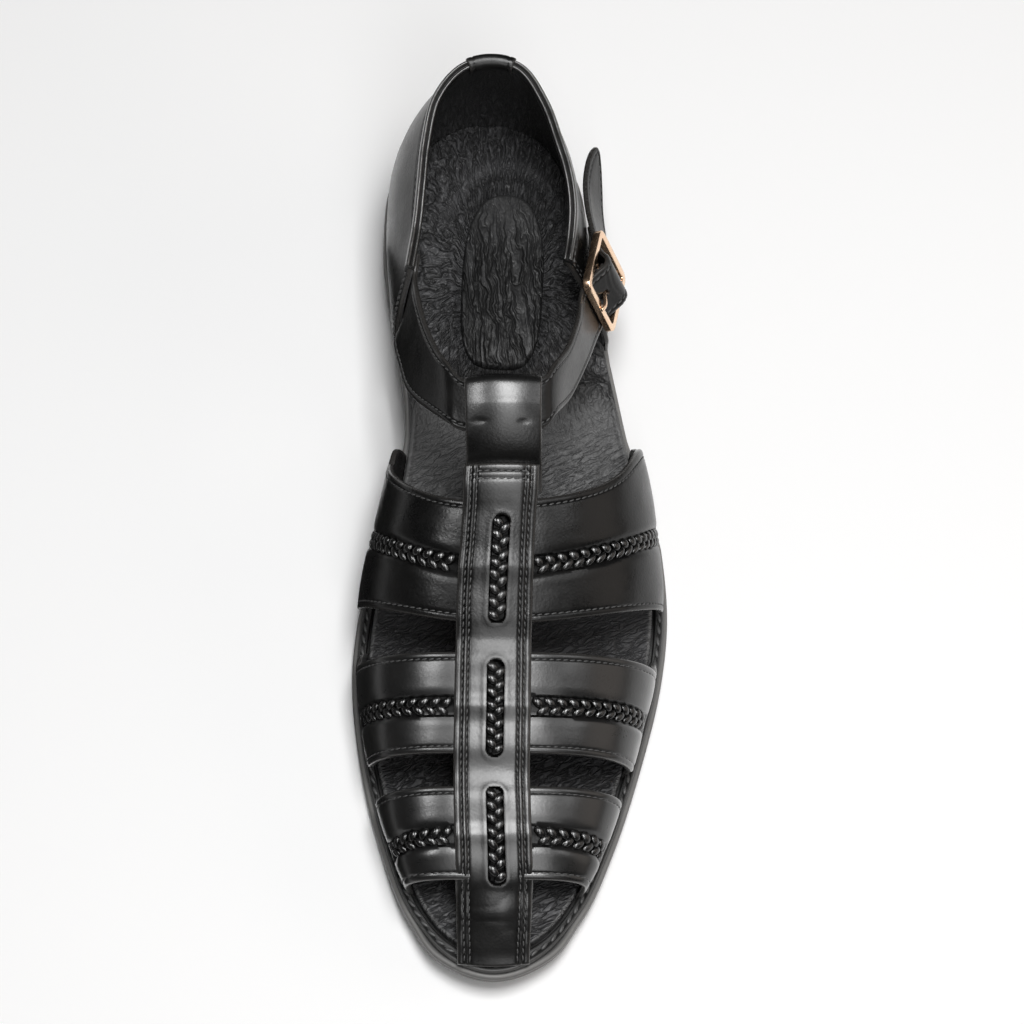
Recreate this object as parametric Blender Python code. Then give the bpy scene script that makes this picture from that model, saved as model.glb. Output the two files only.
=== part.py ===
# Left strappy leather sandal with a closed heel, a buckled ankle strap and plaited trim
# Tables are in millimetres: x across (outer side of the foot positive), s from heel to toe, z up
import math

import bmesh
import bpy
import numpy as np
from mathutils import Vector

MM = 0.001
LENGTH = 298.0
CENTRE_X = 6.5

# Thicknesses and clearances
GAP = 0.3
LEATHER = 1.8
OUTSOLE = 5.0
WELT = 2.6
INSOLE = 4.2
STRAP = 1.8

# Sole profile
HEEL_HEIGHT = 22.0
HEEL_PITCH = 0.02
HEEL_FRONT = 72.0
ARCH_START = 74.0
TREAD_START = 165.0
TREAD_END = 208.0
TOE_SPRING = 7.5
HEEL_INSET_TOP = 0.5
HEEL_INSET_FOOT = 2.2

# Feather line of the last: s, medial x, lateral x
FEATHER = (
    (4.2, 0.6, 0.6),
    (10.0, -16.5, 17.5),
    (24.0, -27.6, 26.8),
    (46.0, -30.9, 30.6),
    (78.0, -29.4, 36.4),
    (110.0, -26.2, 43.1),
    (140.0, -30.6, 50.2),
    (170.0, -37.5, 53.1),
    (195.0, -40.1, 50.6),
    (225.0, -37.4, 43.0),
    (253.0, -31.2, 33.8),
    (275.0, -23.6, 24.0),
    (287.0, -14.5, 13.8),
    (293.0, -0.6, -0.6),
)

# Sole edge outside the feather line: s, width
MARGIN = ((0.0, 4.2), (55.0, 3.6), (90.0, 1.4), (115.0, 1.4), (150.0, 4.9), (298.0, 5.0))

# Foot shape above the feather line: s, ridge x, ridge z, then medial and lateral bulge over the feather line
# and medial and lateral fullness of the shoulder
SECTIONS = (
    (100.0, 3.0, 91.0, 3.0, 0.4, 1.0, 0.0),
    (123.0, 2.8, 82.3, 3.0, 0.4, 1.0, 0.0),
    (150.0, 2.1, 71.8, 3.2, 0.4, 1.5, 0.5),
    (167.0, 1.0, 65.0, 3.2, 0.6, 2.0, 1.0),
    (182.0, 0.0, 59.0, 2.8, 0.8, 2.0, 1.0),
    (196.0, -0.5, 53.5, 2.0, 1.0, 2.0, 1.0),
    (223.0, -1.1, 44.5, 1.7, 1.2, 2.0, 1.5),
    (239.0, -1.4, 40.0, 2.0, 1.6, 2.0, 1.5),
    (254.0, -1.2, 35.7, 1.9, 1.6, 2.0, 1.5),
    (272.0, -0.7, 29.2, 1.5, 1.4, 1.6, 1.2),
    (292.0, -0.8, 19.0, 0.5, 0.5, 0.0, 0.0),
)
WIDEST = 9.0

# Cross straps: s of the back edge and of the front edge at the middle, the medial and the lateral feather,
# then how steeply they sweep back down the sides
STRAPS = (
    ("instep", 160.0, 196.0, 119.0, 170.0, 118.0, 171.0, 4.0),
    ("ball", 204.4, 235.0, 188.0, 225.7, 191.5, 229.5, 1.8),
    ("toe", 244.8, 272.6, 239.5, 270.6, 240.5, 272.0, 1.5),
)
# Back corners of the instep strap: angle up the side, medial and lateral shift of the back edge
INSTEP_CORNERS = (
    (-90.0, 2.5, 1.0), (-45.0, 1.6, 0.5), (-20.0, -0.4, -1.2), (0.0, -1.4, -4.2), (18.0, 0.2, -5.6),
    (30.0, 0.9, -4.2), (40.0, 1.3, -1.9), (50.0, 1.5, -0.5),
    (60.0, 1.5, 0.0), (75.0, 0.7, 0.0), (90.0, 0.0, 0.0),
)
STRAP_ANGLES = (-90.0, -45.0, 0.0, 18.0, 34.0, 48.0, 60.0, 70.0, 80.0)
STRAP_COLUMNS = 6

# Centre strip: s, height of its underside over the foot shape
STRIP = (
    (149.0, 2.4), (152.5, 2.4), (157.0, 2.4), (161.0, 1.3), (167.0, 1.2), (174.0, 1.2), (181.0, 1.2),
    (188.0, 1.2), (194.0, 1.2), (198.0, 0.7), (202.5, 0.7), (207.0, 1.2), (213.0, 1.2), (220.0, 1.2),
    (227.0, 1.2), (234.0, 1.2), (238.5, 0.7), (242.5, 0.7), (247.0, 1.2), (254.0, 1.2), (261.0, 1.2),
    (268.0, 1.2), (272.0, 1.1), (277.0, 0.5), (282.0, 0.3), (286.0, 0.2), (289.0, 0.1), (291.5, 0.0),
    (293.5, 0.0), (295.8, 0.0),
)
STRIP_HALF = 11.7
# Half width of the strip: s, half width
STRIP_WIDTH = ((149.0, 11.0), (190.0, 11.7), (268.0, 12.0), (276.0, 11.3), (296.0, 11.3))
STRIP_COLUMNS = 4
# Strip from the toe strap to the welt: s, z of the foot shape, drop at its edges, set-back of its corners
STRIP_TOE = (
    (272.0, 29.2, 3.4, 0.0),
    (280.0, 25.3, 3.2, 0.5),
    (286.0, 20.9, 2.2, 1.2),
    (290.0, 17.9, 0.7, 2.0),
    (292.5, 16.6, 0.1, 2.6),
    (296.0, 15.5, -0.1, 3.2),
)

# Topline of the counter from its medial end round the back to its lateral end: x, s, z
TOPLINE = (
    (-25.4, 77.4, 67.0),
    (-23.0, 63.0, 68.6),
    (-21.6, 50.0, 72.5),
    (-20.2, 38.0, 78.0),
    (-16.6, 24.5, 83.5),
    (-9.0, 16.2, 86.8),
    (0.0, 14.0, 87.8),
    (9.0, 16.2, 86.8),
    (16.4, 26.0, 82.3),
    (20.6, 36.0, 77.4),
    (24.0, 46.0, 72.8),
    (25.4, 56.0, 69.0),
    (24.9, 65.0, 66.3),
    (23.6, 73.9, 65.0),
)
COUNTER_FRONT_MEDIAL = 90.0
COUNTER_FRONT_LATERAL = 86.0
# Counter sides, medial and lateral: swell of the wall, how late it leans in
COUNTER_BULGE = (1.9, 0.9)
COUNTER_LEAN = (1.7, 1.15)
COUNTER_ROWS = (-1.0, 0.0, 0.12, 0.28, 0.45, 0.62, 0.80, 1.0)
COUNTER_COLUMNS = 40
BINDING_RADIUS = 1.1
TAB_HALF = 8.3

# Buckle: its middle, the way along the strap to the rear, the way down across the strap
BUCKLE_AT = (37.2, 73.9, 51.8)
BUCKLE_ALONG = (5.0, -24.0, -7.0)
BUCKLE_DOWN = (7.5, 7.7, -17.0)
BUCKLE_HALF_LENGTH = 12.0
BUCKLE_HALF_WIDTH = 10.8
BUCKLE_CORNER = 2.5
BAR = 1.0
PRONG = 0.75
CHAPE = 1.2

# Ankle strap between the counter and the loop: upper edge x, s, z, lower edge x, s, z
STRAP_MEDIAL = (
    (-23.8, 88.0, 68.6, -30.8, 94.0, 47.2),
    (-22.0, 98.0, 71.6, -29.4, 104.5, 51.0),
    (-18.4, 110.0, 76.6, -26.0, 119.0, 59.5),
)
# Ankle strap through the loop: x, s of its upper and its lower edge, height over the foot shape
LOOP_STRAP = (
    (-12.8, 117.6, 135.8, 3.2), (-9.6, 123.4, 138.6, 3.2), (-3.6, 125.2, 140.2, 3.2),
    (2.8, 125.6, 140.6, 3.2),
    (9.0, 125.2, 140.2, 3.2), (14.8, 123.4, 138.4, 3.2), (17.6, 118.8, 134.4, 2.0),
)
STRAP_LATERAL = (
    (23.2, 110.0, 76.2, 23.6, 123.6, 65.6),
    (27.2, 96.5, 70.2, 30.0, 106.4, 56.0),
)
# Ankle strap through the buckle: along, outward
STRAP_BUCKLE = (
    (-12.0, -2.4), (-8.5, -1.3), (-5.0, 1.2), (-2.2, 3.5), (0.0, 4.1),
    (2.2, 3.5), (5.0, 1.2), (8.5, -1.3), (12.0, -2.4),
)
STRAP_BUCKLE_HALF = 8.9
# Free end behind the buckle: middle x, s, z, half width
STRAP_END = (
    (35.4, 51.0, 46.2, 8.8),
    (34.6, 41.0, 45.6, 8.2),
    (35.0, 32.0, 45.8, 6.6),
    (35.6, 26.0, 46.3, 4.2),
    (36.0, 22.5, 46.7, 1.2),
)

# Instep loop: s, height over the foot shape, of the middle of the leather; its raised leather is drawn in
LOOP = (
    (141.4, 0.75), (136.0, 0.75), (131.0, 0.75), (126.0, 0.75), (123.8, 1.05), (122.5, 2.0), (122.2, 3.2),
    (122.6, 4.4), (123.9, 5.3), (126.0, 5.6), (131.0, 5.6), (136.0, 5.6), (141.7, 5.5), (144.6, 4.6),
    (147.0, 2.2), (149.2, 1.2), (152.5, 1.05), (157.0, 1.05),
)
LOOP_LEATHER = 1.5
LOOP_MIDDLE = 2.8
LOOP_HALF = 12.0
LOOP_DRAW = 0.3

# Heel pad: s of its middle, x of its middle, half length, half width, turn towards the outer side
PAD_MIDDLE = (62.0, 4.9)
PAD_HALF = (31.5, 13.5)
PAD_TURN = 0.06
PAD_GROOVE = 3.4
PAD_SINK = 2.0
PAD_THICK = 2.6

# Plaits
BRAID_WIDTH = 5.4
BRAID_HEIGHT = 1.5
BRAID_PITCH = 2.6
BRAID_WAVE = 0.45

for old in list(bpy.data.objects):
    bpy.data.objects.remove(old)


def new_collection(name):
    collection = bpy.data.collections.new(name)
    bpy.context.scene.collection.children.link(collection)
    return collection


PARTS = new_collection("strappy_sandal")
CUTTERS = new_collection("sandal_cutters")


def new_material(name, color, roughness, metallic=0.0):
    material = bpy.data.materials.new(name)
    material.use_nodes = True
    shader = material.node_tree.nodes["Principled BSDF"]
    shader.inputs["Base Color"].default_value = (*color, 1.0)
    shader.inputs["Roughness"].default_value = roughness
    shader.inputs["Metallic"].default_value = metallic
    return material


def at(x, s, z):
    return Vector(((x - CENTRE_X) * MM, (LENGTH / 2 - s) * MM, z * MM))


def smooth(points, closed=False, steps=16):
    """Curve through the points, its bends shared by the spacing of the points."""
    p = np.array(points, dtype=float)
    if closed:
        ends = np.vstack([p[-1], p, p[0], p[1]])
    else:
        ends = np.vstack([2 * p[0] - p[1], p, 2 * p[-1] - p[-2]])
    curve = []
    for i in range(1, len(ends) - 2):
        quad = ends[i - 1:i + 3]
        knots = np.cumsum([0.0] + [max(np.linalg.norm(quad[j + 1] - quad[j]), 1e-6) ** 0.5 for j in range(3)])
        for t in np.linspace(knots[1], knots[2], steps, endpoint=False):
            level = [row for row in quad]
            for width in (1, 2):
                level = [
                    (level[j] * (knots[j + width] - t) + level[j + 1] * (t - knots[j]))
                    / (knots[j + width] - knots[j])
                    for j in range(len(level) - 1)
                ]
            blend = (t - knots[1]) / (knots[2] - knots[1])
            curve.append(level[0] * (1 - blend) + level[1] * blend)
    if not closed:
        curve.append(p[-1])
    return np.array(curve)


def even(curve, count):
    """The same curve with points at equal spacing."""
    length = np.concatenate([[0.0], np.cumsum(np.linalg.norm(np.diff(curve, axis=0), axis=1))])
    places = np.linspace(0.0, length[-1], count)
    return np.column_stack([np.interp(places, length, curve[:, k]) for k in range(curve.shape[1])])


def column(table, key, value):
    rows = np.array([[v for v in row if not isinstance(v, str)] for row in table], dtype=float)
    return np.interp(value, rows[:, 0], rows[:, key])


# Feather line as one closed run: heel, medial side, toe, lateral side
medial_run = [(row[1], row[0]) for row in FEATHER]
lateral_run = [(row[2], row[0]) for row in reversed(FEATHER[1:-1])]
closed_run = smooth(medial_run + lateral_run, closed=True)
FEATHER_RUN = even(np.vstack([closed_run, closed_run[:1]]), 721)
run_way = np.roll(FEATHER_RUN[:-1], -1, axis=0) - np.roll(FEATHER_RUN[:-1], 1, axis=0)
run_way /= np.linalg.norm(run_way, axis=1)[:, None]
FEATHER_OUT = np.vstack([np.column_stack([-run_way[:, 1], run_way[:, 0]])] * 2)[:721]


def widened(extra):
    """Feather line moved out by extra, a number or one number for each point."""
    return FEATHER_RUN + FEATHER_OUT * np.broadcast_to(np.reshape(extra, (-1, 1)), (721, 1))


SOLE_MARGIN = np.interp(FEATHER_RUN[:, 1], [m[0] for m in MARGIN], [m[1] for m in MARGIN])
SOLE_RUN = widened(SOLE_MARGIN)
SECTION_RUN = smooth(SECTIONS, steps=8)
TOE_RUN = smooth(STRIP_TOE, steps=8)


def sides(run, s):
    """Medial x and lateral x of an outline at s."""
    toe = int(np.argmax(run[:, 1]))
    lateral = run[toe:][::-1]
    return (np.interp(s, run[:toe + 1, 1], run[:toe + 1, 0]), np.interp(s, lateral[:, 1], lateral[:, 0]))


def run_place(s, lateral):
    """Fraction of the way round the feather line at s on one side."""
    toe = int(np.argmax(FEATHER_RUN[:, 1]))
    places = np.linspace(0.0, 1.0, 721)
    if lateral:
        return float(np.interp(s, FEATHER_RUN[toe:][::-1, 1], places[toe:][::-1]))
    return float(np.interp(s, FEATHER_RUN[:toe + 1, 1], places[:toe + 1]))


def around(run, place):
    places = np.linspace(0.0, 1.0, 721)
    return np.array([np.interp(place, places, run[:, 0]), np.interp(place, places, run[:, 1])])


def tread(s):
    """Height of the underside of the outsole."""
    seat_end = HEEL_HEIGHT - HEEL_PITCH * ARCH_START
    if s < ARCH_START:
        return HEEL_HEIGHT - HEEL_PITCH * max(s, 0.0)
    if s < TREAD_START:
        t = (s - ARCH_START) / (TREAD_START - ARCH_START)
        return seat_end * (1.0 - t * t * (3.0 - 2.0 * t))
    if s < TREAD_END:
        return 0.0
    return TOE_SPRING * ((s - TREAD_END) / (LENGTH - TREAD_END)) ** 2


def seat(s):
    return tread(s) + OUTSOLE + GAP


def feather_z(s):
    return seat(s) + INSOLE


def skin(s, lateral, angle):
    """Foot shape: -90 at the feather line, 0 at the widest level, 90 on the ridge."""
    ridge_x, ridge_z = (float(np.interp(s, SECTION_RUN[:, 0], SECTION_RUN[:, k])) for k in (1, 2))
    bulge, shoulder = (float(np.interp(s, SECTION_RUN[:, 0], SECTION_RUN[:, k + lateral])) for k in (3, 5))
    out = 1.0 if lateral else -1.0
    edge = sides(FEATHER_RUN, s)[1 if lateral else 0]
    wide = edge + out * bulge
    low = feather_z(s)
    turn = math.radians(angle)
    if angle < 0.0:
        rise = 1.0 + angle / 90.0
        x = edge + out * bulge * math.sin(rise * math.pi / 2)
        return np.array([x, s, low + WIDEST * rise])
    full = shoulder * math.sin(2 * turn) ** 2
    x = ridge_x + (wide - ridge_x) * math.cos(turn) + out * full * math.cos(turn)
    z = low + WIDEST + (ridge_z - low - WIDEST) * math.sin(turn) + full * math.sin(turn)
    return np.array([x, s, z])


def lifted(surface, a, b, height, da, db, away):
    """Point of a surface moved out along its own normal."""
    p = surface(a, b)
    along = surface(a + da, b) - surface(a - da, b)
    over = surface(a, b + db) - surface(a, b - db)
    normal = np.cross(along, over)
    normal /= np.linalg.norm(normal)
    if np.dot(normal, p - away(p)) < 0.0:
        normal = -normal
    return p + normal * height


def foot_core(p):
    return np.array([2.0, p[1], 0.0])


def girth(s, lateral, angle, height):
    """Point over the foot shape; the normal on the ridge and at the feather line is the one beside it."""
    p = skin(s, lateral, angle)
    near = min(max(angle, -84.0), 86.0)
    q = lifted(lambda a, b: skin(a, lateral, b), s, near, height, 0.5, 2.0, foot_core)
    move = q - skin(s, lateral, near)
    if angle > 89.0:
        move[0] = 0.0
    return p + move


def crown(s, x):
    """Foot shape near the ridge, told by s and x, run out flat over the welt at the toe."""
    middle = float(np.interp(s, SECTION_RUN[:, 0], SECTION_RUN[:, 1]))
    across = (x - middle) / STRIP_HALF
    if s > STRIP_TOE[0][0]:
        z, drop, back = (float(np.interp(s, TOE_RUN[:, 0], TOE_RUN[:, k])) for k in (1, 2, 3))
        return np.array([x, s - back * across ** 2, z - drop * across ** 2])
    lateral = bool(x > middle)
    edge = sides(FEATHER_RUN, s)[1 if lateral else 0]
    bulge = float(np.interp(s, SECTION_RUN[:, 0], SECTION_RUN[:, 3 + lateral]))
    wide = abs(edge - middle) + bulge
    p = skin(s, lateral, math.degrees(math.acos(min(abs(x - middle) / wide, 1.0))))
    p[0] = x
    return p


def over_crown(s, x, height):
    return lifted(crown, s, x, height, 0.8, 0.8, foot_core)


def strap_place(strap, across, lateral, angle):
    """s of a point of a cross strap: across runs from its back edge to its front edge."""
    shift = 5 if lateral else 3
    rise = math.sin(math.radians((max(angle, -90.0) + 90.0) / 2.0)) ** strap[7]
    foot = strap[shift] + (strap[shift + 1] - strap[shift]) * across
    top = strap[1] + (strap[2] - strap[1]) * across
    corner = column(INSTEP_CORNERS, 2 if lateral else 1, angle) if strap[0] == "instep" else 0.0
    return foot + (top - foot) * rise + corner * (1.0 - across) ** 3


def strap_point(strap, across, lateral, angle, height):
    s = strap_place(strap, across, lateral, angle)
    if angle < -90.0:
        p = girth(s, lateral, -90.0, 0.0)
        edge = sides(widened(height), s)[1 if lateral else 0]
        return np.array([edge if height else p[0], s, seat(s)])
    return girth(s, lateral, angle, height)


TOP_RUN = smooth(TOPLINE)
rear_top = int(np.argmin(TOP_RUN[:, 1]))
TOP_MEDIAL = even(TOP_RUN[:rear_top + 1], 121)
TOP_LATERAL = even(TOP_RUN[rear_top:], 121)


def counter_skin(w, k):
    """Inside of the counter: w from its medial end (0) round the back (0.5) to its lateral end (1)."""
    if w <= 0.5:
        place = run_place(COUNTER_FRONT_MEDIAL, False) * (1.0 - 2.0 * w)
        top = [np.interp(2.0 * w, np.linspace(0, 1, 121), TOP_MEDIAL[:, i]) for i in range(3)]
    else:
        place = 1.0 - (1.0 - run_place(COUNTER_FRONT_LATERAL, True)) * (2.0 * w - 1.0)
        top = [np.interp(2.0 * w - 1.0, np.linspace(0, 1, 121), TOP_LATERAL[:, i]) for i in range(3)]
    x, s = around(FEATHER_RUN, place)
    out = around(FEATHER_OUT, place)
    if k < 0.0:
        return np.array([x, s, feather_z(s) + INSOLE * k])
    turn = min(max((w - 0.4) / 0.2, 0.0), 1.0)
    lean = k ** (COUNTER_LEAN[0] + (COUNTER_LEAN[1] - COUNTER_LEAN[0]) * turn)
    swell = COUNTER_BULGE[0] + (COUNTER_BULGE[1] - COUNTER_BULGE[0]) * turn
    swell *= math.sin(math.pi * min(k, 1.0) ** 0.8)
    low = feather_z(s)
    return np.array([
        x + (top[0] - x) * lean + out[0] * swell,
        s + (top[1] - s) * lean + out[1] * swell,
        low + (top[2] - low) * k,
    ])


def counter_point(w, k, height):
    if k <= 0.0:
        p = counter_skin(w, k)
        near = min(max(w, 0.002), 0.998)
        q = counter_skin(near + 0.002, k) - counter_skin(near - 0.002, k)
        out = np.array([q[1], -q[0], 0.0])
        out /= np.linalg.norm(out)
        if np.dot(out, p - np.array([0.0, 45.0, p[2]])) < 0.0:
            out = -out
        return p + out * height
    near = min(max(k, 0.03), 0.97)
    side = min(max(w, 0.004), 0.996)
    core = lambda p: np.array([0.0, 50.0, p[2]])
    move = lifted(counter_skin, side, near, height, 0.004, 0.02, core) - counter_skin(side, near)
    return counter_skin(w, k) + move


def unit(v):
    v = np.array(v, dtype=float)
    return v / np.linalg.norm(v)


ALONG = unit(BUCKLE_ALONG)
DOWN = unit(np.array(BUCKLE_DOWN) - np.dot(BUCKLE_DOWN, ALONG) * ALONG)
OUT = np.cross(ALONG, DOWN)
OUT = OUT if OUT[0] > 0 else -OUT


def on_buckle(along, down, out):
    return np.array(BUCKLE_AT) + ALONG * along + DOWN * down + OUT * out


def finish(bm, name, material, collection=PARTS):
    bmesh.ops.remove_doubles(bm, verts=bm.verts, dist=1e-6)
    bmesh.ops.recalc_face_normals(bm, faces=bm.faces)
    mesh = bpy.data.meshes.new(name)
    bm.to_mesh(mesh)
    bm.free()
    obj = bpy.data.objects.new(name, mesh)
    obj.data.materials.append(material)
    collection.objects.link(obj)
    if collection is CUTTERS:
        obj.hide_render = True
        obj.display_type = "WIRE"
    return obj


def shell(name, columns, rows, low, high, material, collection=PARTS):
    """Closed sheet: a grid laid on the surface low and grown to the surface high."""
    bm = bmesh.new()
    bmesh.ops.create_grid(bm, x_segments=columns, y_segments=rows, size=0.5)
    under = list(bm.verts)
    whole = bm.faces[:] + bm.edges[:] + bm.verts[:]
    grown = bmesh.ops.extrude_face_region(bm, geom=whole, use_keep_orig=True)
    over = [item for item in grown["geom"] if isinstance(item, bmesh.types.BMVert)]
    for verts, surface in ((under, low), (over, high)):
        for vert in verts:
            vert.co = at(*surface(vert.co.x + 0.5, vert.co.y + 0.5))
    return finish(bm, name, material, collection)


def slab(name, run, low, high, rows, material, until=None, foot_run=None, collection=PARTS):
    """Sheet across an outline from its rear end to its toe end or to a straight front edge."""
    def station(v):
        start = run[:, 1].min()
        if until is None:
            return start + (run[:, 1].max() - start) * (1.0 - math.cos(math.pi * v)) / 2.0
        return start + (until - start) * (1.0 - math.cos(math.pi * v / 2.0))

    def place(outline, u, v, height):
        s = station(v)
        medial, lateral = sides(outline, max(s, outline[:, 1].min()))
        s = max(s, outline[:, 1].min())
        return (medial + (lateral - medial) * u, s, height(s))

    return shell(
        name, 1, rows,
        lambda u, v: place(run if foot_run is None else foot_run, u, v, low),
        lambda u, v: place(run, u, v, high),
        material, collection,
    )


def carve(obj, tool, operation):
    modifier = obj.modifiers.new(tool.name, "BOOLEAN")
    modifier.operation = operation
    modifier.solver = "EXACT"
    modifier.object = tool


def tube(name, points, radius, material, closed=False, sides_count=2):
    curve = bpy.data.curves.new(name, "CURVE")
    curve.dimensions = "3D"
    curve.bevel_depth = radius * MM
    curve.bevel_resolution = sides_count
    curve.use_fill_caps = True
    spline = curve.splines.new("POLY")
    spline.points.add(len(points) - 1)
    for point, place in zip(spline.points, points):
        point.co = (*at(*place), 1.0)
    spline.use_cyclic_u = closed
    obj = bpy.data.objects.new(name, curve)
    curve.materials.append(material)
    PARTS.objects.link(obj)
    return obj


upper_leather = new_material("smooth_black_leather", (0.012, 0.012, 0.013), 0.38)
lining_leather = new_material("matte_grey_leather", (0.045, 0.045, 0.047), 0.7)
trim_leather = new_material("plaited_black_leather", (0.014, 0.014, 0.015), 0.5)
sole_rubber = new_material("black_sole_rubber", (0.02, 0.02, 0.021), 0.6)
welt_leather = new_material("black_welt_leather", (0.018, 0.018, 0.019), 0.55)
buckle_brass = new_material("polished_brass", (0.83, 0.6, 0.4), 0.18, 1.0)

# Sole
slab("outsole", SOLE_RUN, tread, lambda s: tread(s) + OUTSOLE, 44, sole_rubber)
slab(
    "heel", SOLE_RUN - FEATHER_OUT * HEEL_INSET_TOP, lambda s: 0.0, lambda s: tread(s) - GAP, 14, sole_rubber,
    until=HEEL_FRONT, foot_run=SOLE_RUN - FEATHER_OUT * HEEL_INSET_FOOT,
)


def welt_place(u, v):
    start = run_place(136.0, False)
    place = start + (run_place(136.0, True) - start) * v
    inner = around(FEATHER_RUN, place) + around(FEATHER_OUT, place) * (LEATHER + GAP)
    outer = around(SOLE_RUN, place) - around(FEATHER_OUT, place) * 0.2
    return inner + (outer - inner) * u


def welt_at(u, v, rise):
    x, s = welt_place(u, v)
    return (x, s, seat(s) + rise)


shell("welt", 1, 64, lambda u, v: welt_at(u, v, 0.0), lambda u, v: welt_at(u, v, WELT), welt_leather)

# Insole with its recess and the pad in it
insole = slab("insole", widened(-GAP), seat, feather_z, 44, lining_leather)


def oval(grow):
    turn = np.array([[math.cos(PAD_TURN), math.sin(PAD_TURN)], [-math.sin(PAD_TURN), math.cos(PAD_TURN)]])
    ring = []
    for i in range(49):
        angle = 2 * math.pi * i / 48 + math.pi
        square = 0.8 if math.cos(angle) < 0.0 else 0.56
        across = -math.copysign(abs(math.sin(angle)) ** square, math.sin(angle)) * (PAD_HALF[1] + grow)
        along = math.copysign(abs(math.cos(angle)) ** square, math.cos(angle)) * (PAD_HALF[0] + grow)
        x, s = turn @ np.array([across, along])
        ring.append((-x + PAD_MIDDLE[1], s + PAD_MIDDLE[0]))
    return np.array(ring)


def rim(ring):
    start = int(np.argmin(ring[:-1, 1]))
    turned = np.roll(ring[:-1], -start, axis=0)
    turned = np.vstack([turned, turned[:1]])
    if turned[5, 0] > turned[0, 0]:
        turned = turned[::-1]
    return turned


recess = slab(
    "pad_recess", rim(oval(PAD_GROOVE)), lambda s: feather_z(s) - PAD_SINK, lambda s: feather_z(s) + 3.0, 24,
    lining_leather, collection=CUTTERS,
)
carve(insole, recess, "DIFFERENCE")
slab(
    "heel_pad", rim(oval(0.0)), lambda s: feather_z(s) - PAD_SINK + GAP,
    lambda s: feather_z(s) - PAD_SINK + GAP + PAD_THICK, 24, lining_leather,
)

# Vamp: the strip over three cross straps
strap_rows = [(False, a) for a in (-91.0,) + STRAP_ANGLES] + [(False, 90.0)]
strap_rows += [(True, a) for a in reversed((-91.0,) + STRAP_ANGLES)]


def strap_surface(strap, height):
    def surface(u, v):
        lateral, angle = strap_rows[round(v * (len(strap_rows) - 1))]
        return strap_point(strap, u, lateral, angle, height)
    return surface


strap_tools = [
    shell(
        strap[0] + "_strap", STRAP_COLUMNS, len(strap_rows) - 1, strap_surface(strap, 0.0),
        strap_surface(strap, LEATHER), upper_leather, CUTTERS,
    )
    for strap in STRAPS
]


def strip_surface(height):
    def surface(u, v):
        s, lift = STRIP[round(v * (len(STRIP) - 1))]
        middle = float(np.interp(s, SECTION_RUN[:, 0], SECTION_RUN[:, 1]))
        return over_crown(s, middle + column(STRIP_WIDTH, 1, s) * (2.0 * u - 1.0), lift + height)
    return surface


vamp = shell("vamp", STRIP_COLUMNS, len(STRIP) - 1, strip_surface(0.0), strip_surface(LEATHER), upper_leather)
for tool in strap_tools:
    carve(vamp, tool, "UNION")


# Ribbons: folded and bent straps told by the middle of their leather
def ribbon(name, edges, thick, columns, material, away):
    """Strap through pairs of edge points."""
    upper = np.array([e[0] for e in edges])
    lower = np.array([e[1] for e in edges])
    middle = (upper + lower) / 2.0
    way = np.gradient(middle, axis=0)

    def surface(height):
        def place(u, v):
            i = round(v * (len(edges) - 1))
            normal = unit(np.cross(way[i], lower[i] - upper[i]))
            if np.dot(normal, away(i, middle[i])) < 0.0:
                normal = -normal
            return upper[i] + (lower[i] - upper[i]) * u + normal * height
        return place

    return shell(name, columns, len(edges) - 1, surface(-thick / 2.0), surface(thick / 2.0), material)


def loop_surface(sign):
    path = np.array(LOOP)

    def surface(u, v):
        i = round(v * (len(LOOP) - 1))
        way = unit(path[min(i + 1, len(path) - 1)] - path[max(i - 1, 0)])
        s, lift = path[i] + np.array([way[1], -way[0]]) * sign * LOOP_LEATHER / 2.0
        return over_crown(s, LOOP_MIDDLE + (LOOP_HALF - LOOP_DRAW * lift) * (2.0 * u - 1.0), lift)
    return surface


shell("instep_loop", 6, len(LOOP) - 1, loop_surface(1.0), loop_surface(-1.0), upper_leather)

# Counter with its bound topline and the pull tab
counter_rows = len(COUNTER_ROWS) - 1


def counter_surface(height):
    return lambda u, v: counter_point(u, COUNTER_ROWS[round(v * counter_rows)], height)


shell("counter", COUNTER_COLUMNS, counter_rows, counter_surface(0.0), counter_surface(LEATHER), upper_leather)
binding_run = []
for w in np.linspace(0.012, 0.988, 44):
    edge = (counter_point(w, 1.0, 0.0) + counter_point(w, 1.0, LEATHER)) / 2.0
    binding_run.append(edge + np.array([0.0, 0.0, BINDING_RADIUS + GAP + 0.15]))
tube("topline_binding", binding_run, BINDING_RADIUS, upper_leather)

# Pull tab rows: height up the counter, then place outward and upward of the under and the outer face
TAB_ROWS = (
    (0.86, -0.6, 0.0, -2.0, 0.0),
    (1.00, -0.6, 0.6, -2.0, 0.9),
    (1.00, -0.5, 2.6, -1.6, 3.6),
    (1.00, 0.9, 3.4, 0.9, 4.7),
    (1.00, 2.4, 2.6, 3.5, 3.6),
    (1.00, 2.5, 0.4, 3.8, 0.7),
    (0.86, 2.3, 0.0, 3.6, 0.0),
    (0.70, 2.2, 0.0, 3.5, 0.0),
)


def tab_surface(outer):
    def surface(u, v):
        k, out_low, up_low, out_high, up_high = TAB_ROWS[round(v * (len(TAB_ROWS) - 1))]
        reach = TAB_HALF / (TOP_MEDIAL.shape[0] * 0.5 * np.linalg.norm(TOP_MEDIAL[-1] - TOP_MEDIAL[-2]) * 2.0)
        w = 0.5 + reach * (u - 0.5)
        p = counter_point(w, k, out_high if outer else out_low)
        return p + np.array([0.0, 0.0, up_high if outer else up_low])
    return surface


shell("pull_tab", 4, len(TAB_ROWS) - 1, tab_surface(False), tab_surface(True), upper_leather)

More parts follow.
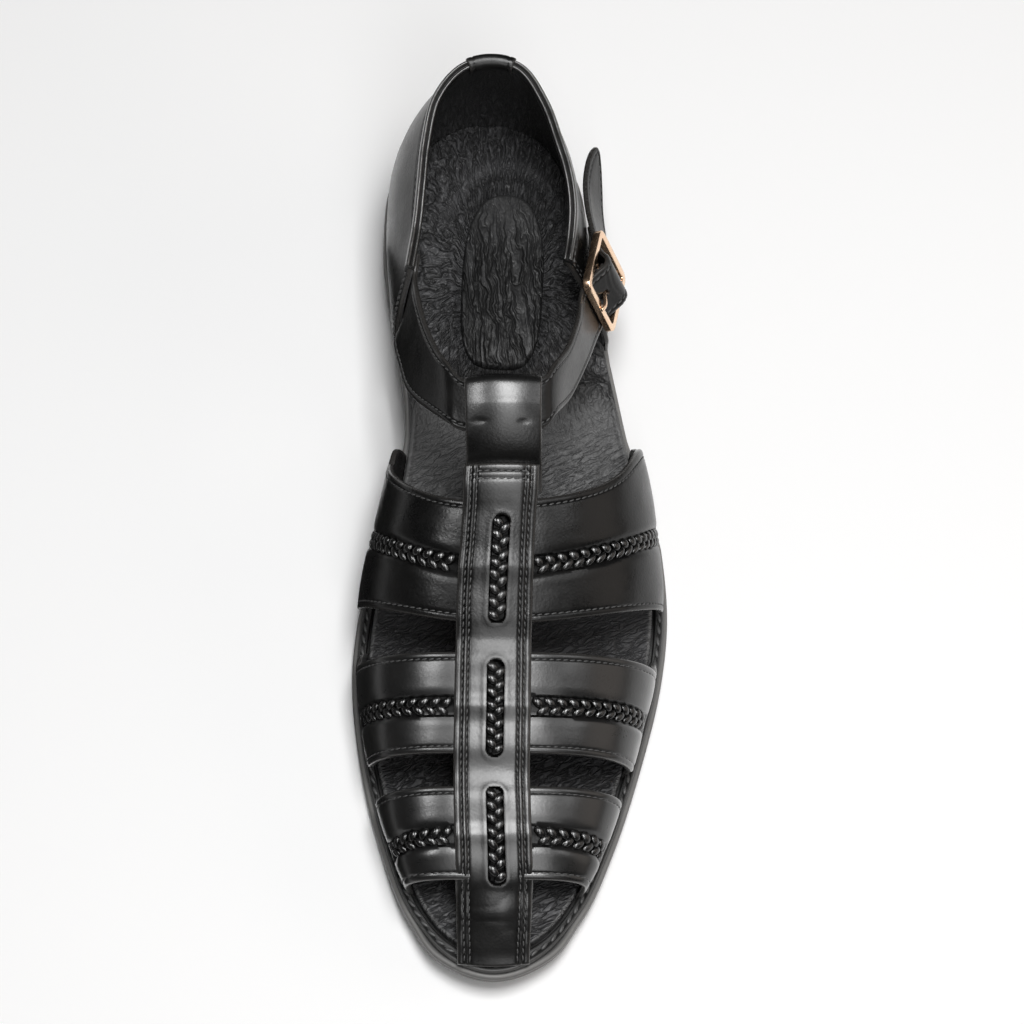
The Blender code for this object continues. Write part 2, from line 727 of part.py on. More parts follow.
# Ankle strap with its slot for the prong
strap_edges = []
for w in (0.050, 0.025, 0.0):
    strap_edges.append(tuple(counter_point(w, k, -GAP - STRAP / 2.0) for k in (0.94, 0.42)))
for row in STRAP_MEDIAL:
    strap_edges.append((np.array(row[:3]), np.array(row[3:])))
for x, upper, lower, lift in LOOP_STRAP:
    strap_edges.append((over_crown(upper, x, lift), over_crown(lower, x, lift)))
for row in STRAP_LATERAL:
    strap_edges.append((np.array(row[:3]), np.array(row[3:])))
for along, out in STRAP_BUCKLE:
    strap_edges.append((on_buckle(along, -STRAP_BUCKLE_HALF, out), on_buckle(along, STRAP_BUCKLE_HALF, out)))
for x, s, z, half in STRAP_END:
    strap_edges.append((np.array([x, s, z]) - DOWN * half, np.array([x, s, z]) + DOWN * half))
flat_edges = np.array([np.concatenate(pair) for pair in strap_edges])
smooth_edges = [(row[:3], row[3:]) for row in smooth(flat_edges, steps=3)]
ankle_strap = ribbon(
    "ankle_strap", smooth_edges, STRAP, 2, upper_leather,
    lambda i, p: p - np.array([2.0, p[1], 35.0]) if p[1] > 60.0 or p[0] < 0.0 else np.array([1.0, 0.0, 0.0]),
)
slot_corner = [on_buckle(-5.6 + a, d, n) for a in (-4.2, 4.2) for d in (-1.5, 1.5) for n in (-6.0, 8.0)]
slot = shell(
    "prong_slot", 1, 1,
    lambda u, v: slot_corner[round(u) * 4 + round(v) * 2],
    lambda u, v: slot_corner[round(u) * 4 + round(v) * 2 + 1],
    upper_leather, CUTTERS,
)
carve(ankle_strap, slot, "DIFFERENCE")

# Buckle: a frame with rounded corners, its centre bar, its prong and the leather that holds it
corners = []
for quarter, (a, d) in enumerate(((1, 1), (-1, 1), (-1, -1), (1, -1))):
    for step in range(4):
        turn = math.radians(quarter * 90.0 + step * 30.0)
        corners.append(on_buckle(
            a * (BUCKLE_HALF_LENGTH - BUCKLE_CORNER) + BUCKLE_CORNER * math.cos(turn),
            d * (BUCKLE_HALF_WIDTH - BUCKLE_CORNER) + BUCKLE_CORNER * math.sin(turn),
            0.0,
        ))
frame_curve = tube("buckle_frame_wire", corners, BAR, buckle_brass, closed=True)
graph = bpy.context.evaluated_depsgraph_get()
frame_mesh = bpy.data.meshes.new_from_object(frame_curve.evaluated_get(graph))
bpy.data.objects.remove(frame_curve)
buckle_frame = bpy.data.objects.new("buckle_frame", frame_mesh)
PARTS.objects.link(buckle_frame)
bar_curve = tube(
    "centre_bar_wire", [on_buckle(0.0, d, 0.0) for d in (-BUCKLE_HALF_WIDTH, BUCKLE_HALF_WIDTH)],
    BAR * 0.9, buckle_brass,
)
graph = bpy.context.evaluated_depsgraph_get()
bar_mesh = bpy.data.meshes.new_from_object(bar_curve.evaluated_get(graph))
bpy.data.objects.remove(bar_curve)
centre_bar = bpy.data.objects.new("centre_bar", bar_mesh)
CUTTERS.objects.link(centre_bar)
centre_bar.hide_render = True
centre_bar.display_type = "WIRE"
carve(buckle_frame, centre_bar, "UNION")

prong_run = [(-3.6, 0.2), (-6.0, 0.6), (-9.0, 1.6), (-11.0, 2.1), (-13.4, 2.0)]
tube("buckle_prong", [on_buckle(a, 0.0, n) for a, n in prong_run], PRONG, buckle_brass)

# The buckle leather hooks round the centre bar and runs back under the strap to the counter
hook = BAR + GAP + CHAPE / 2.0
chape_run = [(math.cos(t) * hook, math.sin(t) * hook) for t in np.radians((75, 110, 145, 180, 215, 250, 275))]
chape_edges = [(on_buckle(a, -7.5, n), on_buckle(a, 7.5, n)) for a, n in chape_run]
for a, n in ((5.0, -2.9), (9.0, -3.9), (12.0, -4.3), (16.0, -5.2), (19.0, -6.1)):
    chape_edges.append((on_buckle(a, -7.5, n), on_buckle(a, 7.5, n)))


def chape_away(i, p):
    hub = np.array(BUCKLE_AT)
    return p - hub if i < 7 else -OUT


ribbon("buckle_strap", chape_edges, CHAPE, 1, upper_leather, chape_away)


# Plaits: a raised run whose edges swing from side to side
def braid(name, surface, count):
    def face(height_edge, height_middle):
        def place(u, v):
            swing = BRAID_WAVE * (1.0 if round(v * count) % 2 else -1.0)
            side = (u - 0.5) * BRAID_WIDTH + swing
            rise = height_edge + (height_middle - height_edge) * (1.0 - abs(2.0 * u - 1.0))
            return surface(side, v, rise)
        return place
    top = face(GAP + BRAID_HEIGHT * 0.55, GAP + BRAID_HEIGHT)
    return shell(name, 2, count, face(GAP, GAP), top, trim_leather)


STRIP_BRAIDS = (("instep", 164.6, 195.3), ("ball", 207.4, 235.4), ("toe", 245.7, 272.0))
for label, start, end in STRIP_BRAIDS:
    def strip_braid(side, v, rise, start=start, end=end):
        s = start + (end - start) * v
        lift = column(STRIP, 1, s)
        middle = float(np.interp(s, SECTION_RUN[:, 0], SECTION_RUN[:, 1]))
        return over_crown(s, middle + 0.8 + side, lift + LEATHER + rise)
    braid(label + "_strip_braid", strip_braid, round((end - start) / BRAID_PITCH))

# Strap plaits: strap, side, angle at the outer end and at the strip, place across the strap at both ends
STRAP_BRAIDS = (
    ("instep_medial_braid", 0, False, 6.0, 70.0, 0.49, 0.54),
    ("instep_lateral_braid", 0, True, 6.0, 75.0, 0.49, 0.54),
    ("ball_medial_braid", 1, False, 4.0, 69.0, 0.52, 0.53),
    ("ball_lateral_braid", 1, True, 4.0, 72.0, 0.52, 0.53),
    ("toe_medial_braid", 2, False, 0.0, 64.0, 0.60, 0.53),
    ("toe_lateral_braid", 2, True, 0.0, 66.0, 0.60, 0.53),
)
for label, *braid_row in STRAP_BRAIDS:
    def strap_braid(side, v, rise, row=tuple(braid_row)):
        strap = STRAPS[row[0]]
        shift = 5 if row[1] else 3
        width = (strap[2] - strap[1] + strap[shift + 1] - strap[shift]) / 2.0
        place = row[4] + (row[5] - row[4]) * v + side / width
        return strap_point(strap, place, row[1], row[2] + (row[3] - row[2]) * v, LEATHER + rise)
    braid(label, strap_braid, 14)
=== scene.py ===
import math

import bpy
import numpy as np
from mathutils import Matrix, Vector


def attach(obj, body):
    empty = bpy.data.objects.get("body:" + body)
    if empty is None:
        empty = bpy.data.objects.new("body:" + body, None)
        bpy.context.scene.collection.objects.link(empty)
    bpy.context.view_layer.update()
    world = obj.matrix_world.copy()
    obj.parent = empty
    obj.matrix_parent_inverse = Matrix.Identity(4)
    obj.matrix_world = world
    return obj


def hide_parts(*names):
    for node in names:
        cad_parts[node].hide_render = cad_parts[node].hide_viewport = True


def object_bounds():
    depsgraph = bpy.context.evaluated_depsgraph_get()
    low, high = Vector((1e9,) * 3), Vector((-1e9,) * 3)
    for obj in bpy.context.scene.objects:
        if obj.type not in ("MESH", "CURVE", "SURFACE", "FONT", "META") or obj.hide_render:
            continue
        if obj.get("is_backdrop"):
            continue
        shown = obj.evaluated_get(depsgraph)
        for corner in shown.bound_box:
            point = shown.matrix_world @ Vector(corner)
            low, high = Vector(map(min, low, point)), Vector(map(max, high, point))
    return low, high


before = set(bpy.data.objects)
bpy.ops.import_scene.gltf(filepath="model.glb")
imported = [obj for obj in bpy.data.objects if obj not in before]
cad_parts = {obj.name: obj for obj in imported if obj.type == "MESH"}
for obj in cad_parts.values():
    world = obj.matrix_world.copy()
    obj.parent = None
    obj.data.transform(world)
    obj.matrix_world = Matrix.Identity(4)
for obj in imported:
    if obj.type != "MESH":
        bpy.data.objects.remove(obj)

cad_box = [list(corner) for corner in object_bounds()]

# Tables are in millimetres: x across (outer side of the foot positive), s from heel to toe, z up
LENGTH = 298.0
CENTRE_X = 6.5
LEATHER = 1.8
OUTSOLE = 5.0
INSOLE = 4.2
GAP = 0.3
WIDEST = 9.0
# Tread: front of the heel, height and slope of the heel seat, s of the ends of seat and arch, rise of the toe
HEEL_FRONT = 72.0
HEEL_HIGH = 22.0
SEAT_SLOPE = 0.02
SEAT_END = 74.0
ARCH_END = 165.0
SPRING_START = 208.0
SPRING = 7.5

# Feather line of the last: s, medial x, lateral x
FEATHER = (
    (4.2, 0.6, 0.6), (10.0, -16.5, 17.5), (24.0, -27.6, 26.8), (46.0, -30.9, 30.6), (78.0, -29.4, 36.4),
    (110.0, -26.2, 43.1), (140.0, -30.6, 50.2), (170.0, -37.5, 53.1), (195.0, -40.1, 50.6),
    (225.0, -37.4, 43.0), (253.0, -31.2, 33.8), (275.0, -23.6, 24.0), (287.0, -14.5, 13.8),
    (293.0, -0.6, -0.6),
)
# Sole edge outside the feather line: s, width
MARGIN = np.array(((0.0, 4.2), (55.0, 3.6), (90.0, 1.4), (115.0, 1.4), (150.0, 4.9), (298.0, 5.0)))
# Foot shape: s, ridge x, ridge z, medial and lateral bulge, medial and lateral fullness of the shoulder
SECTIONS = (
    (100.0, 3.0, 91.0, 3.0, 0.4, 1.0, 0.0), (123.0, 2.8, 82.3, 3.0, 0.4, 1.0, 0.0),
    (150.0, 2.1, 71.8, 3.2, 0.4, 1.5, 0.5), (167.0, 1.0, 65.0, 3.2, 0.6, 2.0, 1.0),
    (182.0, 0.0, 59.0, 2.8, 0.8, 2.0, 1.0), (196.0, -0.5, 53.5, 2.0, 1.0, 2.0, 1.0),
    (223.0, -1.1, 44.5, 1.7, 1.2, 2.0, 1.5), (239.0, -1.4, 40.0, 2.0, 1.6, 2.0, 1.5),
    (254.0, -1.2, 35.7, 1.9, 1.6, 2.0, 1.5), (272.0, -0.7, 29.2, 1.5, 1.4, 1.6, 1.2),
    (292.0, -0.8, 19.0, 0.5, 0.5, 0.0, 0.0),
)
# Cross straps: s of the back and front edge at the middle, at the medial feather and at the lateral feather,
# the sweep, the share of the back corners' shift
STRAPS = {
    "instep": (160.0, 196.0, 119.0, 170.0, 118.0, 171.0, 4.0, 1.0),
    "ball": (204.4, 235.0, 188.0, 225.7, 191.5, 229.5, 1.8, 0.0),
    "toe": (244.8, 272.6, 239.5, 270.6, 240.5, 272.0, 1.5, 0.0),
}
# Back corners of the instep strap: angle up the side, medial and lateral shift of the back edge
INSTEP_CORNERS = (
    (-90.0, 2.5, 3.5), (-45.0, 1.6, 2.7), (-20.0, -0.4, 0.0), (0.0, -1.4, -4.2), (18.0, 0.2, -5.6),
    (30.0, 0.9, -4.2), (40.0, 1.3, -1.9), (50.0, 1.5, -0.5), (60.0, 1.5, 0.0), (75.0, 0.7, 0.0),
    (90.0, 0.0, 0.0),
)
# Plait across each strap half: angle at its outer end, at the strip, place across the strap at both
STRAP_PLAITS = {
    "instep": ((5.0, 73.0, 0.49, 0.54), (5.0, 78.0, 0.49, 0.54)),
    "ball": ((3.0, 72.0, 0.52, 0.53), (3.0, 75.0, 0.52, 0.53)),
    "toe": ((-2.0, 67.0, 0.60, 0.53), (-2.0, 69.0, 0.60, 0.53)),
}
# Plaits in the strip: s of both ends of the slot
STRIP_PLAITS = {"instep": (163.8, 196.0), "ball": (206.6, 236.2), "toe": (244.9, 274.0)}
# Cross straps: length over the foot to a step of s, distance of the stitches from the edge
STRAP_SLOPE = 1.04
STITCH_INSET = 2.25
# Centre strip: s, height of its face over the foot shape
STRIP_FACE = (
    (149.0, 4.1), (152.0, 4.2), (156.0, 4.1), (159.0, 3.6), (162.0, 3.05), (168.0, 2.9), (174.5, 2.95),
    (179.2, 3.6), (184.0, 2.95), (190.0, 2.95), (194.5, 2.9), (197.5, 2.4), (200.5, 2.1), (203.5, 2.45),
    (206.5, 2.95), (213.0, 2.95), (217.0, 3.0), (220.6, 3.5), (224.6, 2.95), (230.0, 2.95), (234.0, 2.8),
    (237.5, 2.25), (240.5, 2.1), (244.0, 2.4), (247.5, 2.95), (253.0, 2.95), (256.0, 3.0), (259.5, 3.5),
    (263.2, 2.95), (269.0, 2.9), (272.5, 2.75), (276.0, 2.2), (282.0, 2.1), (290.0, 1.9), (297.0, 1.8),
)
STRIP_BACK = 149.0
STRIP_FRONT = 296.0
STRIP_HALF = 11.7
# Half width of the strip: s, half width
STRIP_WIDTH = np.array(((149.0, 11.0), (190.0, 11.7), (268.0, 12.0), (276.0, 11.3), (296.0, 11.3)))
STRIP_SIDE = 0.8
SLOT_HALF = 2.75
# Seams of the strip: distance from its sides, distance from its back end
STRIP_SEAMS = (2.3, 4.0)
STRIP_END_SEAMS = (2.2, 4.4)
# Polish of the strip: places s, polish at each
STRIP_POLISH = (
    (149.0, 158.0, 163.0, 196.0, 206.0, 211.0, 232.0, 238.0, 245.0, 250.0, 272.0, 276.0, 289.0, 293.0),
    (0.6, 0.5, 0.0, 0.1, 0.3, 0.7, 0.8, 0.45, 0.55, 1.0, 1.0, 0.3, 0.3, 0.9),
)
# Strip over the toe: s, z, drop at its edges, set-back of its corners
STRIP_TOE = (
    (272.0, 29.2, 3.4, 0.0), (280.0, 25.3, 3.2, 0.4), (286.0, 20.9, 2.2, 0.8), (290.0, 17.9, 0.9, 0.9),
    (292.5, 15.9, 0.5, 0.9), (296.0, 13.6, 0.1, 0.9),
)
# Topline of the counter from its medial end round the back: x, s, z
TOPLINE = (
    (-25.4, 77.4, 67.0), (-23.0, 63.0, 68.6), (-21.6, 50.0, 72.5), (-20.2, 38.0, 78.0), (-16.6, 24.5, 83.5),
    (-9.0, 16.2, 86.8), (0.0, 14.0, 87.8), (9.0, 16.2, 86.8), (16.4, 26.0, 82.3), (20.6, 36.0, 77.4),
    (24.0, 46.0, 72.8), (25.4, 56.0, 69.0), (24.9, 65.0, 66.3), (23.6, 73.9, 65.0),
)
# Counter, medial and lateral: s of its front foot, swell of the wall, lean of the wall
COUNTER_FRONT = (90.0, 86.0)
COUNTER_BULGE = (1.9, 0.9)
COUNTER_LEAN = (1.7, 1.15)
TAB_HALF = 7.5
# Pull tab: height up the counter, then place outward and upward of the under and the outer face
TAB_ROWS = (
    (0.965, -0.5, 0.0, -1.35, 0.0), (0.985, -0.5, 0.2, -1.4, 0.3), (1.00, -0.5, 0.6, -1.4, 0.7),
    (1.00, -0.4, 1.9, -1.1, 2.3), (1.00, 0.9, 2.2, 0.9, 3.0), (1.00, 2.1, 1.7, 2.8, 2.2),
    (1.00, 2.2, 0.5, 3.1, 0.6), (0.94, 2.1, 0.1, 3.0, 0.1), (0.86, 2.05, 0.0, 2.9, 0.0),
    (0.70, 1.95, 0.0, 2.8, 0.0),
)
# Buckle: its middle, the way along the strap to the rear, the way down across the strap
BUCKLE_AT = np.array((37.2, 73.9, 51.8))
BUCKLE_ALONG = np.array((5.0, -24.0, -7.0))
BUCKLE_DOWN = np.array((7.5, 7.7, -17.0))
BUCKLE_HALF = (12.0, 10.8)
BUCKLE_CORNER = 2.0
# Ankle strap: upper edge x, s, z, lower edge x, s, z
STRAP_MEDIAL = (
    (-23.8, 88.0, 68.6, -30.8, 94.0, 47.2), (-22.0, 98.0, 71.6, -29.4, 104.5, 51.0),
    (-18.4, 110.0, 76.6, -26.0, 119.0, 59.5),
)
STRAP_LATERAL = ((23.2, 110.0, 76.2, 23.6, 123.6, 65.6), (27.2, 96.5, 70.2, 30.0, 106.4, 56.0))
# Ankle strap through the loop: x, s of its upper and its lower edge, height over the foot shape
LOOP_STRAP = (
    (-12.8, 117.0, 135.6, 3.2), (-9.7, 122.2, 138.4, 3.2), (-3.6, 125.2, 140.2, 3.2),
    (2.8, 125.6, 140.6, 3.2), (9.0, 125.2, 140.2, 3.2), (14.9, 122.3, 137.8, 3.2), (17.6, 118.6, 134.2, 1.8),
)
# Ankle strap through the buckle: place along and out of the buckle
STRAP_BUCKLE = (
    (-12.0, -2.4), (-8.5, -1.3), (-5.0, 1.2), (-2.2, 3.5), (0.0, 4.1), (2.2, 3.5), (5.0, 1.2), (8.5, -1.3),
    (12.0, -2.4),
)
STRAP_BUCKLE_HALF = 8.9
# Free end of the ankle strap: x, s, z of its middle, half width
STRAP_END = (
    (35.4, 51.0, 46.2, 8.8), (34.6, 41.0, 45.6, 8.2), (35.0, 32.0, 45.8, 6.6), (35.6, 26.0, 46.3, 4.2),
    (36.0, 22.9, 46.7, 1.9), (36.1, 22.0, 46.8, 0.5),
)
# Instep loop: s, height over the foot shape
LOOP = (
    (141.4, 0.75), (136.0, 0.75), (131.0, 0.75), (127.2, 0.75), (125.0, 1.05), (123.7, 2.0), (123.4, 3.2),
    (123.7, 4.3), (124.8, 5.2), (127.0, 5.7), (131.0, 5.9), (136.0, 5.6), (141.0, 4.9), (145.0, 3.6),
    (148.0, 1.9), (150.2, 1.2), (153.0, 1.05), (157.0, 1.05),
)
LOOP_LEATHER = 1.5
LOOP_MIDDLE = 2.8
LOOP_HALF = 12.0
LOOP_DRAW = 0.3
# Heel pad: its middle and half size along and across the foot, its turn, roundness of its rear and its front
PAD_MIDDLE = (62.0, 4.9)
PAD_HALF = (31.5, 13.5)
PAD_TURN = 0.06
PAD_POWER = (2.5, 3.57)
PAD_SINK = 2.0
PAD_THICK = 2.6


# Curves and soft fields
def floats(*values):
    """Values as float arrays, spread over each other's rows and columns."""
    return np.broadcast_arrays(*(np.asarray(value, float) for value in values))


def spread(*values):
    """Points from values that are spread over each other's rows and columns."""
    return np.stack(floats(*values), -1)


def read_off(table, s, column=1):
    """Column of a table at s, which is its first column."""
    return np.interp(s, table[:, 0], table[:, column])


def unit(v):
    return v / np.maximum(np.linalg.norm(v, axis=-1, keepdims=True), 1e-12)


def left_of(path, closed=False):
    """Unit way to the left of a flat path, at each of its points."""
    if closed:
        way = np.roll(path, -1, axis=0) - np.roll(path, 1, axis=0)
    else:
        way = np.gradient(path, axis=0)
    return unit(spread(-way[:, 1], way[:, 0]))


def smooth(points, closed=False, steps=16):
    """Curve through the points, its bends shared by the spacing of the points."""
    p = np.array(points, dtype=float)
    if closed:
        ends = np.vstack([p[-1], p, p[0], p[1]])
    else:
        ends = np.vstack([2 * p[0] - p[1], p, 2 * p[-1] - p[-2]])
    curve = []
    for i in range(1, len(ends) - 2):
        quad = ends[i - 1:i + 3]
        roots = [max(np.linalg.norm(quad[j + 1] - quad[j]), 1e-6) ** 0.5 for j in range(3)]
        knots = np.cumsum([0.0] + roots)
        for t in np.linspace(knots[1], knots[2], steps, endpoint=False):
            level = list(quad)
            for width in (1, 2):
                level = [
                    (level[j] * (knots[j + width] - t) + level[j + 1] * (t - knots[j]))
                    / (knots[j + width] - knots[j]) for j in range(len(level) - 1)
                ]
            share = (t - knots[1]) / (knots[2] - knots[1])
            curve.append(level[0] * (1 - share) + level[1] * share)
    if not closed:
        curve.append(p[-1])
    return np.array(curve)


def run_length(curve):
    return np.concatenate([[0.0], np.cumsum(np.linalg.norm(np.diff(curve, axis=0), axis=1))])


def even(curve, count):
    """The same curve with points at equal spacing."""
    length = run_length(curve)
    places = np.linspace(0.0, length[-1], count)
    return np.column_stack([np.interp(places, length, curve[:, k]) for k in range(curve.shape[1])])


def ease(t):
    t = np.clip(t, 0.0, 1.0)
    return t * t * (3.0 - 2.0 * t)


def rolled(distance, radius):
    """Share of the thickness left at a distance from a rounded edge."""
    t = np.clip(distance / radius, 0.0, 1.0)
    return np.sqrt(np.maximum(1.0 - (1.0 - t) ** 2, 0.0))


def cut_edge(distance, radius):
    """Share of the thickness left at a distance from a cut edge that keeps a narrow flat."""
    return 0.15 + 0.85 * rolled(distance, radius)


def hill(distance, half):
    """Soft bump, 1 at no distance."""
    return np.exp(-(np.asarray(distance) / half) ** 2)


LATTICE = np.random.default_rng(11).random((128, 128))


def ruffle(a, b, layer=0):
    """Soft random field from -1 to 1, about one swell to each unit."""
    a, b = floats(a + layer * 17.31, b + layer * 5.77)
    i, j = np.floor(a).astype(int), np.floor(b).astype(int)
    f, g = ease(a - i), ease(b - j)
    corner = lambda k, m: LATTICE[(i + k) % len(LATTICE), (j + m) % len(LATTICE)]
    low = corner(0, 0) * (1 - f) + corner(1, 0) * f
    high = corner(0, 1) * (1 - f) + corner(1, 1) * f
    return 2.0 * (low * (1 - g) + high * g) - 1.0


def folds(a, b, layer=0, sharp=3.0):
    """Random lines, 1 along each line and 0 between them."""
    return (1.0 - np.abs(ruffle(a, b, layer))) ** sharp


# The last
RUN_POINTS = 721
medial_run = [(row[1], row[0]) for row in FEATHER]
lateral_run = [(row[2], row[0]) for row in reversed(FEATHER[1:-1])]
closed_run = smooth(medial_run + lateral_run, closed=True)
FEATHER_RUN = even(np.vstack([closed_run, closed_run[:1]]), RUN_POINTS)
run_out = left_of(FEATHER_RUN[:-1], closed=True)
FEATHER_OUT = np.vstack([run_out, run_out[:1]])
SOLE_RUN = FEATHER_RUN + FEATHER_OUT * read_off(MARGIN, FEATHER_RUN[:, 1:])
SECTION_RUN = smooth(SECTIONS, steps=8)
TOE_RUN = smooth(STRIP_TOE, steps=8)
STRIP_FACE_RUN = smooth(STRIP_FACE, steps=8)
CORNER_RUN = smooth(INSTEP_CORNERS)
PLACES = np.linspace(0.0, 1.0, RUN_POINTS)


def side_of(run, s, lateral):
    toe = int(np.argmax(run[:, 1]))
    medial = np.interp(s, run[:toe + 1, 1], run[:toe + 1, 0])
    outer = np.interp(s, run[toe:][::-1, 1], run[toe:][::-1, 0])
    return np.where(lateral, outer, medial)


def run_place(s, lateral):
    toe = int(np.argmax(FEATHER_RUN[:, 1]))
    if lateral:
        return float(np.interp(s, FEATHER_RUN[toe:][::-1, 1], PLACES[toe:][::-1]))
    return float(np.interp(s, FEATHER_RUN[:toe + 1, 1], PLACES[:toe + 1]))


def around(run, place):
    return np.stack([np.interp(place, PLACES, run[:, k]) for k in (0, 1)], -1)


def tread(s):
    """Height of the underside of the outsole."""
    s = np.asarray(s, float)
    heel_seat = HEEL_HIGH - SEAT_SLOPE * np.clip(s, 0.0, SEAT_END)
    arch = heel_seat * (1.0 - ease((s - SEAT_END) / (ARCH_END - SEAT_END)))
    return arch + SPRING * np.clip((s - SPRING_START) / (LENGTH - SPRING_START), 0.0, None) ** 2


def toe_rim(s):
    """Fuller rim of sole and welt at the toe."""
    return 1.5 * ease((s - 280.0) / 12.0)


def seat(s):
    return tread(s) + OUTSOLE + GAP


def feather_z(s):
    return seat(s) + INSOLE


def section(s, k):
    return read_off(SECTION_RUN, s, k)


def skin(s, lateral, angle):
    """Foot shape by angle: -90 feather line, 0 widest level, 90 ridge; it runs down past the insole."""
    s, lateral, angle = floats(s, lateral, angle)
    ridge_x, ridge_z = section(s, 1), section(s, 2)
    bulge = np.where(lateral, section(s, 4), section(s, 3))
    out = np.where(lateral, 1.0, -1.0)
    edge = side_of(FEATHER_RUN, s, lateral)
    low = feather_z(s)
    turn = np.radians(np.maximum(angle, 0.0))
    rise = np.clip(1.0 + angle / 90.0, 0.0, 1.0)
    full = np.where(lateral, section(s, 6), section(s, 5)) * np.sin(2 * turn) ** 2
    x_high = ridge_x + (edge + out * bulge - ridge_x) * np.cos(turn) + out * full * np.cos(turn)
    z_high = low + WIDEST + (ridge_z - low - WIDEST) * np.sin(turn) + full * np.sin(turn)
    x_low = edge + out * bulge * np.sin(rise * math.pi / 2)
    z_low = low + WIDEST * rise - INSOLE * np.clip(-1.0 - angle / 90.0, 0.0, 1.0)
    below = angle < 0.0
    return spread(np.where(below, x_low, x_high), s, np.where(below, z_low, z_high))


def normal_on(surface, a, b, da, db, core):
    p = surface(a, b)
    n = unit(np.cross(surface(a + da, b) - surface(a - da, b), surface(a, b + db) - surface(a, b - db)))
    return n * np.where(np.sum(n * (p - core(p)), -1, keepdims=True) < 0.0, -1.0, 1.0)


def foot_core(p):
    return spread(2.0, p[..., 1], 0.0)


def girth(s, lateral, angle, height):
    s, lateral, angle, height = floats(s, lateral, angle, height)
    near = np.clip(angle, -84.0, 86.0)
    n = normal_on(lambda a, b: skin(a, lateral, b), s, near, 0.5, 2.0, foot_core)
    n = np.concatenate([n[..., :1] * np.clip((90.0 - angle) / 4.0, 0.0, 1.0)[..., None], n[..., 1:]], -1)
    return skin(s, lateral, angle) + n * height[..., None]


def crown(s, x):
    """Foot shape near the ridge, told by s and x, run out flat over the welt at the toe."""
    s, x = floats(s, x)
    middle = section(s, 1)
    lateral = x > middle
    wide = np.abs(side_of(FEATHER_RUN, s, lateral) - middle) + np.where(lateral, section(s, 4), section(s, 3))
    angle = np.degrees(np.arccos(np.clip(np.abs(x - middle) / np.maximum(wide, 1.0), 0.0, 1.0)))
    top = skin(s, lateral, angle)
    across = (x - middle) / STRIP_HALF
    toe_z, drop, back = (read_off(TOE_RUN, s, k) for k in (1, 2, 3))
    z = np.where(s < STRIP_TOE[0][0], section(s, 2), toe_z)
    share = ease((s - 266.0) / 10.0)
    z = top[..., 2] * (1 - share) + (z - drop * across ** 2) * share
    return spread(x, s - back * across ** 2 * share, z)


def over_crown(s, x, height):
    s, x, height = floats(s, x, height)
    return crown(s, x) + normal_on(crown, s, x, 0.8, 0.8, foot_core) * height[..., None]


def strap_s(strap, across, lateral, angle):
    """Place s from the share of the way across a strap, its back edge being 0."""
    middle, medial, outer = (strap[k] + (strap[k + 1] - strap[k]) * across for k in (0, 2, 4))
    sweep, corner_share = strap[6:]
    rise = np.sin(np.radians((np.clip(angle, -90.0, 90.0) + 90.0) / 2.0)) ** sweep
    foot = np.where(lateral, outer, medial)
    corner = np.where(lateral, read_off(CORNER_RUN, angle, 2), read_off(CORNER_RUN, angle, 1))
    slide = corner_share * corner * (1.0 - across) ** 3
    return foot + (middle - foot) * rise + slide


def strap_width(strap, lateral, angle):
    return (strap_s(strap, 1.0, lateral, angle) - strap_s(strap, 0.0, lateral, angle)) * STRAP_SLOPE


def strap_point(strap, across, lateral, angle, height):
    return girth(strap_s(strap, across, lateral, angle), lateral, angle, height)


TOP_POINTS = 121
TOP_RUN = smooth(TOPLINE)
rear_top = int(np.argmin(TOP_RUN[:, 1]))
TOP_MEDIAL = even(TOP_RUN[:rear_top + 1], TOP_POINTS)
TOP_LATERAL = even(TOP_RUN[rear_top:], TOP_POINTS)
TOP_WHOLE = np.vstack([TOP_MEDIAL, TOP_LATERAL[1:]])


def counter_skin(w, k):
    """Inside of the counter: w from its medial end (0) round the back (0.5) to its lateral end (1)."""
    w, k = floats(w, k)
    medial_end, lateral_end = run_place(COUNTER_FRONT[0], False), run_place(COUNTER_FRONT[1], True)
    place = np.where(w <= 0.5, medial_end * (1.0 - 2.0 * w), 1.0 - (1.0 - lateral_end) * (2.0 * w - 1.0))
    top = [np.interp(w, np.linspace(0.0, 1.0, len(TOP_WHOLE)), TOP_WHOLE[:, i]) for i in range(3)]
    x, s = (around(FEATHER_RUN, place)[..., i] for i in (0, 1))
    out = around(FEATHER_OUT, place)
    up = np.clip(k, 0.0, None)
    turn = np.clip((w - 0.4) / 0.2, 0.0, 1.0)
    lean = up ** (COUNTER_LEAN[0] + (COUNTER_LEAN[1] - COUNTER_LEAN[0]) * turn)
    swell = COUNTER_BULGE[0] + (COUNTER_BULGE[1] - COUNTER_BULGE[0]) * turn
    swell = swell * np.sin(math.pi * np.minimum(up, 1.0) ** 0.8)
    low = feather_z(s)
    return spread(
        x + (top[0] - x) * lean + out[..., 0] * swell, s + (top[1] - s) * lean + out[..., 1] * swell,
        low + (top[2] - low) * up + INSOLE * np.clip(k, None, 0.0),
    )


def counter_core(p):
    return spread(0.0, 50.0, p[..., 2])


def counter_point(w, k, height):
    w, k, height = floats(w, k, height)
    n = normal_on(counter_skin, np.clip(w, 0.004, 0.996), np.clip(k, 0.03, 0.97), 0.004, 0.02, counter_core)
    n = np.where(k[..., None] <= 0.0, unit(spread(n[..., 0], n[..., 1], 0.0)), n)
    return counter_skin(w, k) + n * height[..., None]


ALONG = unit(BUCKLE_ALONG)
DOWN = unit(BUCKLE_DOWN - np.dot(BUCKLE_DOWN, ALONG) * ALONG)
OUT = np.cross(ALONG, DOWN)
OUT = OUT if OUT[0] > 0 else -OUT


